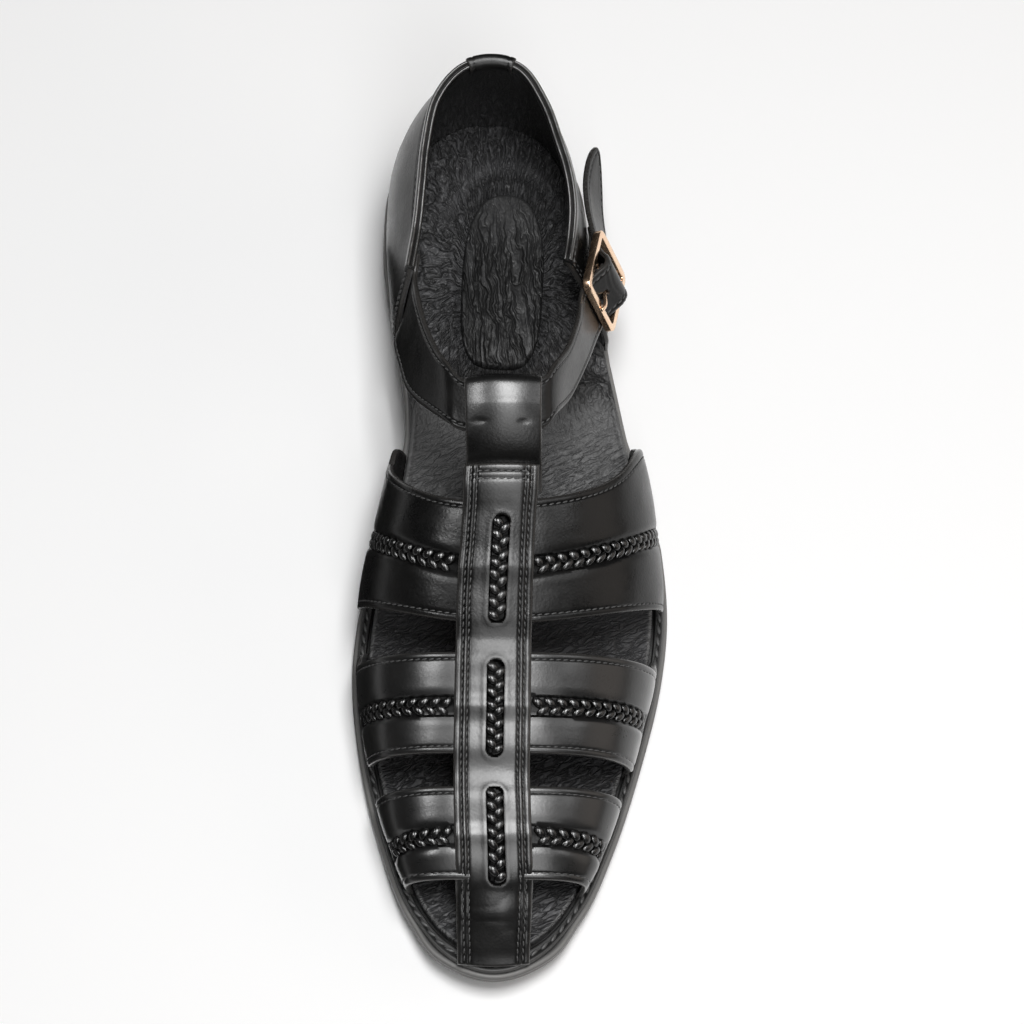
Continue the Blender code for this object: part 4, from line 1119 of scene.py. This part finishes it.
upright = folds(lining_w * 78.0 + 0.8 * ruffle(lining_w * 30.0, lining_k * 5.0, 41), lining_k * 3.4, 42, 2.0)
level = folds(lining_w * 120.0, lining_k * 14.0 + 0.5 * ruffle(lining_w * 60.0, lining_k * 8.0, 44), 45, 2.0)
gather = (0.6 * upright + 0.4 * level) * (0.35 + 0.65 * ease((0.75 - lining_k) / 0.5))
laid(
    "counter_lining", counter_point(lining_w, lining_k, 0.4),
    counter_point(lining_w, lining_k, -0.15 - 0.3 * gather), counter_lining, "insole", "counter",
    across=lining_w * 125.0, along=lining_k * 6.0, depth=0.75 - 0.5 * lining_k, fore=0.0,
)
binding_ring = smooth((
    (-0.9, -2.9), (-1.15, -1.5), (-1.2, 0.2), (-1.15, 1.2), (-0.8, 1.85), (-0.3, 1.95), (0.02, 1.6),
    (0.2, 1.3), (0.45, 1.6), (0.8, 2.25), (1.25, 2.45), (1.65, 2.15), (1.9, 1.3), (1.95, 0.1), (1.85, -1.6),
    (1.5, -2.9), (0.2, -3.1),
), closed=True, steps=2)
binding_w = np.linspace(0.0, 1.0, 200)
edge_low, edge_high = counter_point(binding_w, 1.0, 0.0), counter_point(binding_w, 1.0, LEATHER)
edge_out = unit((edge_high - edge_low) * np.array([1.0, 1.0, 0.0]))
edge_up = np.array([0.0, 0.0, 1.0]) + edge_out * -0.12
ripple = 1.0 + 0.05 * ruffle(binding_w * 60.0, 0.0, 51)
binding_rows = (
    ((edge_low + edge_high) / 2.0)[:, None] + edge_out[:, None] * binding_ring[None, :, :1]
    + edge_up[:, None] * (binding_ring[:, 1][None, :] * ripple[:, None])[..., None]
)
# The edge mark paints the top of the roll lighter: a painted highlight along the topline.
binding = wrapped("topline_roll", binding_rows, edge=0.8 * ease((binding_ring[:, 1] - 1.2) / 1.0), polish=1.0)
dress(binding, upper_leather, "upper", "topline_binding", angle=50.0)


def counter_seam(w, k, height):
    return stitch_run(lambda h: counter_point(w, k, h), height)


top_seam_k = 1.0 - COUNTER_TOP_SEAM / COUNTER_HIGH
counter_runs = [counter_seam(np.linspace(0.012, 0.988, 300), top_seam_k, LEATHER - 0.12)]
for inset in COUNTER_FRONT_SEAMS:
    for w in (inset / COUNTER_LONG, 1.0 - inset / COUNTER_LONG):
        counter_runs.append(counter_seam(w, np.linspace(0.05, 0.93, 120), LEATHER - 0.1))
for side in (-BACK_SEAM, BACK_SEAM):
    counter_runs.append(counter_seam(0.5 + side / COUNTER_LONG, np.linspace(0.03, 0.68, 90), LEATHER - 0.1))
sewn("counter_thread", counter_runs, "upper", "counter")

# Pull tab
TAB_SEAMS = (0.725, 0.77)
tab_rows = smooth(TAB_ROWS, steps=7)
tab_share = across_steps(2 * TAB_HALF, 0.9, EDGE_STEPS[:10])[None, :]
tab_near = np.minimum(side_near(tab_share, 2 * TAB_HALF), np.arange(len(tab_rows))[::-1, None] * 0.9)
tab_turn = TAB_HALF / (TOP_POINTS * np.linalg.norm(TOP_MEDIAL[-1] - TOP_MEDIAL[-2]))


def tab_face(outer_face):
    thin = (1.0 - cut_edge(tab_near, 0.7)) / 2.0
    share = (1.0 - thin) if outer_face else thin
    out = tab_rows[:, 1:2] + (tab_rows[:, 3:4] - tab_rows[:, 1:2]) * share
    up = tab_rows[:, 2:3] + (tab_rows[:, 4:5] - tab_rows[:, 2:3]) * share
    if outer_face:
        out = out - 0.2 * hill(tab_near - 1.9, 0.32) * np.sign(out)
    return counter_point(0.5 + tab_turn * (tab_share - 0.5), tab_rows[:, :1], out) + spread(0.0, 0.0, up)


laid(
    "heel_pull_tab", tab_face(False), tab_face(True), upper_leather, "upper", "pull_tab",
    edge=hill(tab_near, 0.6),
)
tab_w = 0.5 + tab_turn * 0.78 * (np.linspace(0.0, 1.0, 40) - 0.5)
tab_runs = [stitch_run(lambda h: counter_point(tab_w, k, h), 2.78, 2.2, FINE_STITCH, 6.0) for k in TAB_SEAMS]
sewn("tab_thread", tab_runs, "upper", "pull_tab")

# Ankle strap
ANKLE_WIDE = 17.8
ANKLE_SEAM = 2.0
# Holes: place along the strap from the buckle's bar, half length
ANKLE_HOLES = ((-7.0, 1.7), (3.2, 0.9))
# Creases: place along the strap from the buckle's bar, bow
ANKLE_CREASES = ((-2.6, 0.25), (-4.4, 0.3), (5.8, -0.25), (7.6, -0.3))
strap_edges = [
    np.concatenate([counter_point(w, k, -GAP - 0.9) for k in (0.94, 0.42)]) for w in (0.050, 0.025, 0.0)
]
strap_edges += [np.array(row) for row in STRAP_MEDIAL]
strap_edges += [
    np.concatenate([over_crown(s, x, lift) for s in (upper, lower)]) for x, upper, lower, lift in LOOP_STRAP
]
strap_edges += [np.array(row) for row in STRAP_LATERAL]
strap_edges += [
    np.concatenate([on_buckle(a, side * STRAP_BUCKLE_HALF, o) for side in (-1.0, 1.0)])
    for a, o in STRAP_BUCKLE
]
for x, s, z, half in STRAP_END:
    strap_edges.append(np.concatenate([np.array((x, s, z)) - DOWN * half, np.array((x, s, z)) + DOWN * half]))
ankle = smooth(strap_edges, steps=9)
ankle_upper, ankle_lower = ankle[:, :3], ankle[:, 3:]
ankle_middle = (ankle_upper + ankle_lower) / 2.0
ankle_run = run_length(ankle_middle)
ankle_way = unit(np.gradient(ankle_middle, axis=0))
ankle_up = unit(np.cross(ankle_way, ankle_lower - ankle_upper))
round_foot = (ankle_middle[:, 1] > 60.0) | (ankle_middle[:, 0] < 0.0)
away = np.where(
    round_foot[:, None], ankle_middle - spread(2.0, ankle_middle[:, 1], 35.0), np.array([1.0, 0.0, 0.0]),
)
ankle_up = ankle_up * np.where(np.sum(ankle_up * away, -1, keepdims=True) < 0.0, -1.0, 1.0)
ankle_wide = np.linalg.norm(ankle_lower - ankle_upper, axis=1)[:, None]


def ankle_point(share, height):
    lift = np.broadcast_to(height, (len(ankle), share.shape[1]))[..., None]
    flat_point = ankle_upper[:, None] + (ankle_lower - ankle_upper)[:, None] * share[..., None]
    return flat_point + ankle_up[:, None] * lift


at_bar = int(np.argmin(np.linalg.norm(ankle_middle - on_buckle(0.0, 0.0, 4.1), axis=1)))
from_bar = (ankle_run - ankle_run[at_bar])[:, None]
tip_near = (ankle_run[-1] - ankle_run)[:, None]
hole_steps = np.array((-2.4, -1.9, -1.5, -1.2, -0.95, -0.7, -0.4, 0.0, 0.4, 0.7, 0.95, 1.2, 1.5, 1.9, 2.4))
share_out = across_steps(ANKLE_WIDE, 0.95)
share_out = np.concatenate([
    share_out[share_out < 0.5 - 2.7 / ANKLE_WIDE], 0.5 + hole_steps / ANKLE_WIDE,
    share_out[share_out > 0.5 + 2.7 / ANKLE_WIDE],
])[None, :]
near = np.minimum(side_near(share_out, ankle_wide), tip_near)
height, edge = leather_face(near, 1.0, 0.9, ANKLE_SEAM, 0.24)
height = height - 0.1 + 0.08 * ruffle(ankle_run[:, None] / 9.0, share_out * 3.0, 61)
from_middle = (share_out - 0.5) * ankle_wide
punched = np.zeros_like(height)
for place, long in ANKLE_HOLES:
    beyond = np.maximum(np.abs(from_bar - place) - (long - 0.9), 0.0)
    punched = np.maximum(punched, ease((1.25 - np.hypot(beyond, from_middle)) / 0.45))
height = height - 1.15 * punched
for place, bow in ANKLE_CREASES:
    height = height - 0.16 * hill(from_bar - place - bow * from_middle ** 2 / 9.0, 0.5)
strap_low = ankle_point(share_out, np.minimum(-0.15, height - 0.2))
laid(
    "ankle_strap_leather", strap_low, ankle_point(share_out, height), strap_leather, "upper", "ankle_strap",
    edge=edge,
)
share_in = across_steps(ANKLE_WIDE, 1.6, EDGE_STEPS[:8])[None, :]
in_near = np.minimum(side_near(share_in, ankle_wide), tip_near)
in_share = 0.5 + (share_in - 0.5) * (1.0 - 0.5 / np.maximum(ankle_wide, 1.0))
laid(
    "ankle_strap_lining", ankle_point(in_share, -0.9 + 0.5 * (1.0 - rolled(in_near, 0.55))),
    ankle_point(in_share, -0.28 - 0.12 * (1.0 - rolled(in_near, 0.4))), strap_leather, "upper", "ankle_strap",
    edge=0.8 * hill(in_near, 0.6),
)
keep = (ankle_run > 14.0) & (ankle_run < ankle_run[-1] - 4.0)
seam = ANKLE_SEAM / np.maximum(ankle_wide, 4.0)
ankle_runs = [stitch_run(lambda h: ankle_point(inset, h)[keep, 0], 0.72) for inset in (seam, 1.0 - seam)]
sewn("ankle_thread", ankle_runs, "upper", "ankle_strap")

# Buckle
corner_turn = np.radians(np.linspace(0.0, 90.0, 7))
frame_run = []
for quarter, (a, d) in enumerate(((1, 1), (-1, 1), (-1, -1), (1, -1))):
    turn = corner_turn + quarter * math.pi / 2
    frame_run.append(spread(
        a * (BUCKLE_HALF[0] - BUCKLE_CORNER) + BUCKLE_CORNER * np.cos(turn),
        d * (BUCKLE_HALF[1] - BUCKLE_CORNER) + BUCKLE_CORNER * np.sin(turn),
    ))
frame_run = np.concatenate(frame_run)
frame_out = -left_of(frame_run, closed=True)
bar_ring = np.array((
    (1.25, -0.85), (1.25, 0.85), (1.2, 1.05), (1.05, 1.2), (0.85, 1.25), (-0.85, 1.25), (-1.05, 1.2),
    (-1.2, 1.05), (-1.25, 0.85), (-1.25, -0.85), (-1.2, -1.05), (-1.05, -1.2), (-0.85, -1.25), (0.85, -1.25),
    (1.05, -1.2), (1.2, -1.05),
))
bar_places = frame_run[:, None] + frame_out[:, None] * bar_ring[None, :, :1]
frame_piece = wrapped(
    "buckle_frame_cast", on_buckle(bar_places[..., 0], bar_places[..., 1], bar_ring[None, :, 1]), hoop=True,
)
turn = np.linspace(0.0, 2.0 * math.pi, 20, endpoint=False)
bar_end = BUCKLE_HALF[1]
bar_down = np.concatenate([(-bar_end,), np.linspace(-bar_end + 1.2, bar_end - 1.2, 12), (bar_end,)])[:, None]
bar_round = 0.88 + 0.12 * np.abs(bar_down / bar_end) ** 4
bar_piece = wrapped("buckle_bar", on_buckle(np.cos(turn) * bar_round, bar_down, np.sin(turn) * bar_round))
frame_piece = joined("buckle_frame_cast", [frame_piece, bar_piece])
dress(frame_piece, buckle_brass, "buckle", "buckle_frame", angle=50.0)
PRONG_HOOK = 1.62
PRONG_ROWS = 90
prong_path = [
    (PRONG_HOOK * math.cos(t), PRONG_HOOK * math.sin(t)) for t in np.radians(np.linspace(-70.0, 170.0, 17))
] + [
    (-2.6, 1.0), (-4.2, 0.9), (-6.0, 1.1), (-8.2, 1.75), (-10.2, 2.2), (-12.0, 2.15), (-13.3, 1.75),
    (-13.9, 1.45),
]
prong_path = even(smooth(prong_path, steps=5), PRONG_ROWS)
prong_up = left_of(prong_path)
reach = np.linspace(0.0, 1.0, PRONG_ROWS)
prong_half = np.interp(reach, (0.0, 0.3, 0.6, 0.9, 0.985, 1.0), (1.3, 1.2, 0.95, 0.8, 0.62, 0.25))
prong_thick = np.interp(reach, (0.0, 0.3, 0.9, 0.985, 1.0), (0.5, 0.62, 0.6, 0.45, 0.15))
ring_side, ring_tall = (np.sign(way) * np.abs(way) ** 0.75 for way in (np.cos(turn), np.sin(turn)))
prong_lift = prong_thick[:, None] * ring_tall[None, :]
prong_places = prong_path[:, None] + prong_up[:, None] * prong_lift[..., None]
prong = wrapped(
    "buckle_prong_cast",
    on_buckle(prong_places[..., 0], prong_half[:, None] * ring_side[None, :], prong_places[..., 1]),
)
dress(prong, buckle_brass, "buckle", "buckle_prong", angle=50.0)
KEEPER_WIDE = 15.0
keeper_hook = 1.0 + GAP + 0.6
keeper_turn = np.radians((75, 110, 145, 180, 215, 250, 275))
keeper_path = [(math.cos(t) * keeper_hook, math.sin(t) * keeper_hook) for t in keeper_turn]
keeper_path += [(5.0, -2.9), (9.0, -3.9), (12.0, -4.3), (16.0, -5.2), (19.0, -6.1)]
keeper_path = smooth(keeper_path, steps=8)
keeper_side = left_of(keeper_path)
keeper_share = across_steps(KEEPER_WIDE, 1.0, EDGE_STEPS[:10])[None, :]
keeper_near = side_near(keeper_share, KEEPER_WIDE)


def keeper_face(sign):
    half = 0.6 * cut_edge(keeper_near, 0.6)
    if sign < 0.0:
        half = half - 0.15 * hill(keeper_near - 1.85, 0.3)
    places = keeper_path[:, None] + keeper_side[:, None] * (half * sign)[..., None]
    return on_buckle(places[..., 0], (keeper_share - 0.5) * KEEPER_WIDE, places[..., 1])


laid(
    "buckle_keeper_leather", keeper_face(1.0), keeper_face(-1.0), upper_leather, "upper", "buckle_strap",
    edge=hill(keeper_near, 0.6),
)

# Insole
heel_end, toe_end = FEATHER_RUN[:, 1].min() + GAP, FEATHER_RUN[:, 1].max() - GAP
insole_run = FEATHER_RUN - FEATHER_OUT * GAP
v = np.linspace(0.0, 1.0, 400)[:, None]
insole_s = heel_end + (toe_end - heel_end) * (0.6 * v + 0.4 * (1.0 - np.cos(math.pi * v)) / 2.0)
insole_medial, insole_lateral = (side_of(insole_run, insole_s, lateral) for lateral in (False, True))
insole_share = across_steps(72.0, 0.95, np.array((0.0, 0.12, 0.35, 0.7, 1.1, 1.6, 2.2, 3.0)))[None, :]
insole_x = insole_medial + (insole_lateral - insole_medial) * insole_share
insole_near = np.minimum(insole_x - insole_medial, insole_lateral - insole_x)
insole_near = np.minimum(insole_near, np.minimum(insole_s - heel_end, toe_end - insole_s))
reach, pad_across, pad_along = pad_reach(insole_x, insole_s)
pad_round = np.arctan2(pad_across / PAD_HALF[1], pad_along / PAD_HALF[0]) * 24.0
sweep = 0.9 * ruffle(reach / 6.0, pad_round / 7.0, 71)
gather = 0.65 * folds(pad_round / 2.1 + sweep, reach / 9.0, 72, 2.0)
gather = gather + 0.35 * folds(pad_round / 1.3 + sweep, reach / 4.0, 73, 2.0)
heel_zone = ease((128.0 - insole_s) / 25.0)
slant_a, slant_b = insole_x * 0.75 + insole_s * 0.66, insole_s * 0.75 - insole_x * 0.66
crumple = 0.6 * folds(slant_a / 2.6 + 0.7 * ruffle(slant_b / 6.0, slant_a / 6.0, 74), slant_b / 11.0, 75, 2.0)
crumple = crumple + 0.4 * folds(slant_b / 2.4, slant_a / 7.0 + sweep, 76, 2.0)
crinkle = gather * heel_zone + crumple * (1.0 - heel_zone)
waist = 1.0 - 0.75 * ease((insole_s - 96.0) / 14.0) * ease((186.0 - insole_s) / 18.0)
waist = waist + 0.5 * ease((insole_s - 184.0) / 12.0)
behind_pad = ease((45.0 - insole_s) / 10.0)
calm = 1.0 - 0.3 * hill(reach - 10.5, 3.0) * behind_pad
rise = 0.4 * (crinkle - 0.4) * waist + 0.25 * ruffle(insole_s / 14.0, insole_x / 11.0, 77)
rise = rise * calm - 0.3 * hill(reach - 10.0, 3.6) * behind_pad
rise = rise * ease((reach - 1.0) / 2.5) + 0.25 * hill(reach - 4.6, 1.6)
rise = rise - (PAD_SINK + 0.1) * ease((3.4 - reach) / 3.2)
rise = rise + 0.3 * hill(insole_near - 1.3, 0.7) - 1.1 * (1.0 - rolled(insole_near, 1.2))
rise = np.where(insole_s > 120.0, np.minimum(rise, 0.55), rise)
# The tone mark lifts the insole's colour at the heel and the forepart, painted light against the shade of the
# counter and the straps.
laid(
    "insole_leather", spread(insole_x, insole_s, seat(insole_s)),
    spread(insole_x, insole_s, feather_z(insole_s) + rise), insole_leather, "insole", "insole",
    across=np.abs(pad_round) / 1.9, along=reach / 7.0, depth=calm * (0.6 + 0.4 * heel_zone) * waist,
    fore=1.0 - heel_zone, tone=1.0 - ease((insole_s - 84.0) / 18.0) * ease((176.0 - insole_s) / 20.0),
    edge=0.8 * hill(insole_near - 0.7, 0.5) * ease((insole_s - 100.0) / 20.0),
)

# Heel pad
pad_v = np.sin(np.linspace(-1.0, 1.0, 190) * math.pi / 2.0)[:, None]
power = np.where(pad_v < 0.0, *PAD_POWER)
pad_half = PAD_HALF[1] * np.maximum(1.0 - np.abs(pad_v) ** power, 0.0) ** (1.0 / power)
pad_u = np.linspace(-1.0, 1.0, 64)[None, :]
pad_across = pad_half * (np.sin(pad_u * math.pi / 2.0) * 0.35 + pad_u * 0.65)
pad_along = PAD_HALF[0] * pad_v
pad_x = PAD_MIDDLE[1] - (math.cos(PAD_TURN) * pad_across + math.sin(PAD_TURN) * pad_along)
pad_s = PAD_MIDDLE[0] + (-math.sin(PAD_TURN) * pad_across + math.cos(PAD_TURN) * pad_along)
pad_near = -pad_reach(pad_x, pad_s)[0]
wander = 0.8 * ruffle(pad_along / 19.0, pad_across / 11.0, 81) + 0.16 * pad_along
crease = 0.75 * folds((pad_across + wander) / 3.0, pad_along / 34.0, 82, 3.0)
crease = crease + 0.25 * folds((pad_across + wander) / 1.6, pad_along / 20.0, 83, 3.0)
crease = crease * ease((pad_along + 26.0) / 18.0) * (0.55 + 0.45 * ease((pad_along + 8.0) / 20.0))
pad_low = feather_z(pad_s) - PAD_SINK + GAP
pad_top = pad_low + 0.25 + (PAD_THICK - 0.85) * rolled(pad_near, 1.3) + 0.3 * rolled(pad_near, 13.0)
crease = 0.42 * crease - 0.06 * ruffle(pad_along / 5.0, pad_across / 4.0, 84)
pad_top = pad_top - crease * ease(pad_near / 2.5)
pad = laid(
    "heel_pad_cushion", spread(pad_x, pad_s, pad_low), spread(pad_x, pad_s, pad_top),
    pad_leather, "insole", "heel_pad",
    across=(pad_across + wander) / 3.4, along=pad_along / 22.0,
    depth=0.35 + 0.65 * ease((pad_along + 26.0) / 20.0), fore=0.0,
)

# Welt and its stitches
WELT_END = 136.0
WELT_ROWS = 460
WELT_INNER = 0.5
WELT_SETBACK = 1.5
welt_places = np.linspace(run_place(WELT_END, False), run_place(WELT_END, True), WELT_ROWS)
welt_line, welt_out = around(FEATHER_RUN, welt_places), around(FEATHER_OUT, welt_places)
welt_wide = read_off(MARGIN, welt_line[:, 1]) + toe_rim(welt_line[:, 1]) - WELT_SETBACK - WELT_INNER
welt_ring = smooth((
    (0.0, 0.0), (0.0, 1.6), (0.05, 2.25), (0.16, 2.5), (0.32, 2.45), (0.5, 2.15), (0.68, 2.4), (0.84, 2.5),
    (0.96, 2.2), (1.0, 1.6), (1.0, 0.0),
), steps=3)


def on_welt(share, high):
    """Points over the welt from the share of its width and the height over the outsole."""
    off = WELT_INNER + welt_wide[:, None] * share
    x, s = (welt_line[:, None, k] + welt_out[:, None, k] * off for k in (0, 1))
    return spread(x, s, seat(s) - GAP + high)


welt_rise = 0.92 + 0.05 * ruffle(welt_places * 160.0, 0.0, 91)[:, None]
# The edge mark paints the welt's outer edge lighter: a painted highlight.
welt = wrapped(
    "welt_strip", on_welt(welt_ring[None, :, 0], welt_ring[None, :, 1] * welt_rise),
    edge=0.5 * hill(welt_ring[:, 0] - 0.95, 0.08),
)
dress(welt, welt_leather, "welt", "welt", angle=50.0)
welt_run = stitch_run(lambda h: on_welt(np.full((1, 1), 0.5), h)[6:-6, 0], 2.25, 4.1, WELT_STITCH, 14.0)
sewn("welt_thread", [welt_run], "welt", "welt")


# Outsole and heel: rings from the middle of the top, out over the edge, to the middle of the underside
def sole_rings(outline, out, spine, levels):
    """levels: distance in from the edge, share of the way to the spine, height at each s."""
    rows = []
    for inset, inward, height in levels:
        line = outline - out * inset
        line = line + (spine - line) * inward
        rows.append(np.concatenate([line, height(line[:, 1])[:, None]], -1))
    return np.array(rows)


def ribbed(s):
    """Underside of the forepart with its cross ribs."""
    wave = ease((np.cos((s - 150.0) * 2.0 * math.pi / 6.0) + 0.25) / 0.6)
    return tread(s) + 0.7 * wave * ease((s - 146.0) / 6.0) * ease((282.0 - s) / 5.0)


def over_tread(rise):
    return lambda s: tread(s) + rise


def flat(z):
    return lambda s: np.full_like(s, z)


# Edge of the outsole: distance in, depth under its top; then distance in, height over the tread
SOLE_TOP = (
    (4.0, 0.0), (1.9, 0.0), (1.2, 0.02), (0.7, 0.14), (0.35, 0.4), (0.12, 0.8), (0.0, 1.3), (0.02, 2.1),
    (0.16, 2.3), (0.2, 2.45), (0.05, 2.65), (0.0, 3.2),
)
SOLE_FOOT = ((0.1, 1.0), (0.35, 0.45), (0.8, 0.12), (1.5, 0.0), (4.4, 0.0))
sole_out = FEATHER_OUT[:-1]
sole_line = SOLE_RUN[:-1] + sole_out * toe_rim(SOLE_RUN[:-1, 1:])
spine_s = np.clip(sole_line[:, 1], 24.0, 270.0)
spine_x = (side_of(SOLE_RUN, spine_s, False) + side_of(SOLE_RUN, spine_s, True)) / 2.0
sole_levels = [(0.0, 1.0, over_tread(OUTSOLE)), (0.0, 0.5, over_tread(OUTSOLE))]
sole_levels += [(inset, 0.0, over_tread(OUTSOLE - drop)) for inset, drop in SOLE_TOP]
sole_levels += [(inset, 0.0, over_tread(rise)) for inset, rise in SOLE_FOOT]
sole_levels += [(5.4, 0.0, ribbed), (7.0, 0.0, ribbed)]
sole_levels += [(0.0, inward, ribbed) for inward in (0.45, 0.7, 1.0)]
# The rounded top rim of the outsole gets the edge mark: a painted highlight.
sole_rim_highlight = np.zeros((len(sole_levels), 1))
sole_rim_highlight[4:8, 0] = (0.5, 1.0, 1.0, 0.5)
sole_toe = ease((sole_line[:, 1] - 215.0) / 70.0)[None, :] * (np.arange(len(sole_levels)) > 7)[:, None]
outsole = wrapped(
    "outsole_moulded", sole_rings(sole_line, sole_out, spread(spine_x, spine_s), sole_levels),
    edge=sole_rim_highlight, toe=sole_toe,
)
dress(outsole, sole_rubber, "sole", "outsole", angle=50.0)

# Seams between the layers of the heel: height, depth
HEEL_SEAMS = ((5.2, 0.32), (9.4, 0.12), (13.6, 0.12), (17.8, 0.12))
heel_keep = sole_line[:, 1] < HEEL_FRONT - 2.5
order = np.argsort(np.where(PLACES[:-1] > 0.5, PLACES[:-1] - 1.0, PLACES[:-1]))
heel_side = sole_line[order][heel_keep[order]]
front_x = np.linspace(heel_side[-1, 0], heel_side[0, 0], 40)[1:-1]
bow = (front_x - (front_x[0] + front_x[-1]) / 2.0) / ((front_x[0] - front_x[-1]) / 2.0)
heel_front = spread(front_x, HEEL_FRONT - 0.8 - 2.2 * (1.0 - bow ** 2))
heel_loop = even(np.vstack([heel_side, heel_front, heel_side[:1]]), 301)[:-1]
for _ in range(3):
    heel_loop = (np.roll(heel_loop, 1, axis=0) + 2.0 * heel_loop + np.roll(heel_loop, -1, axis=0)) / 4.0
heel_out = left_of(heel_loop, closed=True)
if np.sum(heel_out * (heel_loop - heel_loop.mean(0))) < 0.0:
    heel_out = -heel_out
heel_spine = np.broadcast_to(np.array((0.5, 40.0)), heel_loop.shape)
taper = lambda z: 0.5 + 1.7 * (1.0 - z / 20.0)
heel_levels = [(0.0, 1.0, flat(0.0)), (0.0, 0.5, flat(0.0)), (4.5, 0.0, flat(0.0)), (3.0, 0.0, flat(0.0))]
heel_levels += [(2.55, 0.0, flat(0.12)), (2.3, 0.0, flat(0.5))]
for z, deep in HEEL_SEAMS:
    groove = taper(z) + deep
    heel_levels += [(taper(z - 0.4), 0.0, flat(z - 0.4)), (groove, 0.0, flat(z - 0.12))]
    heel_levels += [(groove, 0.0, flat(z + 0.12)), (taper(z + 0.4), 0.0, flat(z + 0.4))]
heel_levels += [(0.55, 0.0, over_tread(-0.7)), (0.9, 0.0, over_tread(-0.25)), (4.0, 0.0, over_tread(-0.2))]
heel_levels += [(0.0, 0.6, over_tread(-0.2)), (0.0, 1.0, over_tread(-0.2))]
# The bottom rim of the heel gets the edge mark: a painted highlight.
heel_rim_highlight = np.zeros((len(heel_levels), 1))
heel_rim_highlight[3:6] = 0.8
heel = wrapped("stacked_heel", sole_rings(heel_loop, heel_out, heel_spine, heel_levels), edge=heel_rim_highlight)
dress(heel, sole_rubber, "sole", "heel", angle=35.0)


# Stage, light and camera
def stage_sheet(name, size, paper, dark, light, scale):
    bpy.ops.object.select_all(action="DESELECT")
    bpy.ops.mesh.primitive_plane_add(size=size)
    sheet = bpy.context.object
    sheet.name = name
    paper.feed(Base_Color=paper.mix(paper.noise(scale, 2.0), colour(dark), colour(light)))
    sheet.data.materials.append(paper.material)
    return sheet


pale_paper = Finish("pale_paper", Roughness=0.85, Specular_IOR_Level=0.2)
floor = stage_sheet("pale_floor", 8.0, pale_paper, 0.96, 0.98, 3.0)
floor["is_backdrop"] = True

world = bpy.data.worlds.new("studio")
bpy.context.scene.world = world
world.use_nodes = True
world.node_tree.nodes["Background"].inputs["Color"].default_value = (1.0, 1.0, 1.0, 1.0)
world.node_tree.nodes["Background"].inputs["Strength"].default_value = 0.05


def softbox(name, place, target, size, power):
    lamp = bpy.data.lights.new(name, "AREA")
    lamp.shape = "RECTANGLE"
    lamp.size, lamp.size_y = size
    lamp.energy = power
    box = bpy.data.objects.new(name, lamp)
    box.location = place
    box.rotation_euler = (Vector(target) - Vector(place)).to_track_quat("-Z", "Y").to_euler()
    bpy.context.scene.collection.objects.link(box)
    return box


softbox("overhead_softbox", (0.08, -0.08, 1.3), (0.08, -0.08, 0.0), (0.4, 0.57), 13.4)
inner_strip = softbox("inner_strip_light", (-0.69, -0.02, 1.3), (-0.03, -0.05, 0.05), (0.5, 0.18), 5.8)
outer_strip = softbox("outer_strip_light", (0.84, 0.03, 1.25), (0.025, -0.03, 0.05), (0.62, 0.3), 1.9)
inner_strip.visible_diffuse = outer_strip.visible_diffuse = False
outer_side = softbox("outer_side_softbox", (1.5, 0.0, 0.75), (0.0, 0.0, 0.03), (1.3, 1.0), 3.3)
outer_side.data.color = (1.0, 0.9, 0.82)
softbox("front_softbox", (0.17, -0.82, 1.3), (0.01, -0.03, 0.05), (0.5, 0.75), 5.0)

# Dark card lying beside the inner side, seen only in the gloss of the leather
soot_paper = Finish("dark_card_paper", Roughness=0.9, Specular_IOR_Level=0.1)
card = stage_sheet("dark_card", 1.0, soot_paper, 0.012, 0.02, 9.0)
bpy.ops.transform.resize(value=(0.15, 0.275, 1.0))
bpy.ops.transform.translate(value=(-0.127, -0.0225, 0.0008))
bpy.ops.object.transform_apply(location=True, scale=True)
card.visible_camera = card.visible_diffuse = card.visible_shadow = card.visible_transmission = False
card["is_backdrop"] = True

PHOTO_EYE = Vector((-0.0529, -0.6036, 1.3731))
PHOTO_TILT = math.radians(66.0)
AIM = Vector((0.0, 0.0, 0.035))
camera_data = bpy.data.cameras.new("photo_camera")
camera_data.lens = 160.0
camera_data.sensor_width = 36.0
camera_data.sensor_fit = "HORIZONTAL"
camera_data.clip_end = 50.0
camera = bpy.data.objects.new("photo_camera", camera_data)
bpy.context.scene.collection.objects.link(camera)
bpy.context.scene.camera = camera
tilt_cos, tilt_sin = math.cos(PHOTO_TILT), math.sin(PHOTO_TILT)
turned = Matrix(((1.0, 0.0, 0.0), (0.0, tilt_sin, -tilt_cos), (0.0, tilt_cos, tilt_sin)))
to_aim = turned.transposed() @ (AIM - PHOTO_EYE)
swing = Vector((0.0, 0.0, -1.0)).rotation_difference(to_aim.normalized()).to_matrix()
camera.matrix_world = Matrix.Translation(PHOTO_EYE) @ (turned @ swing).to_4x4()
bpy.context.scene.view_settings.view_transform = "Standard"

{"cad": cad_box, "visual": [list(corner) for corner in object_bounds()]}
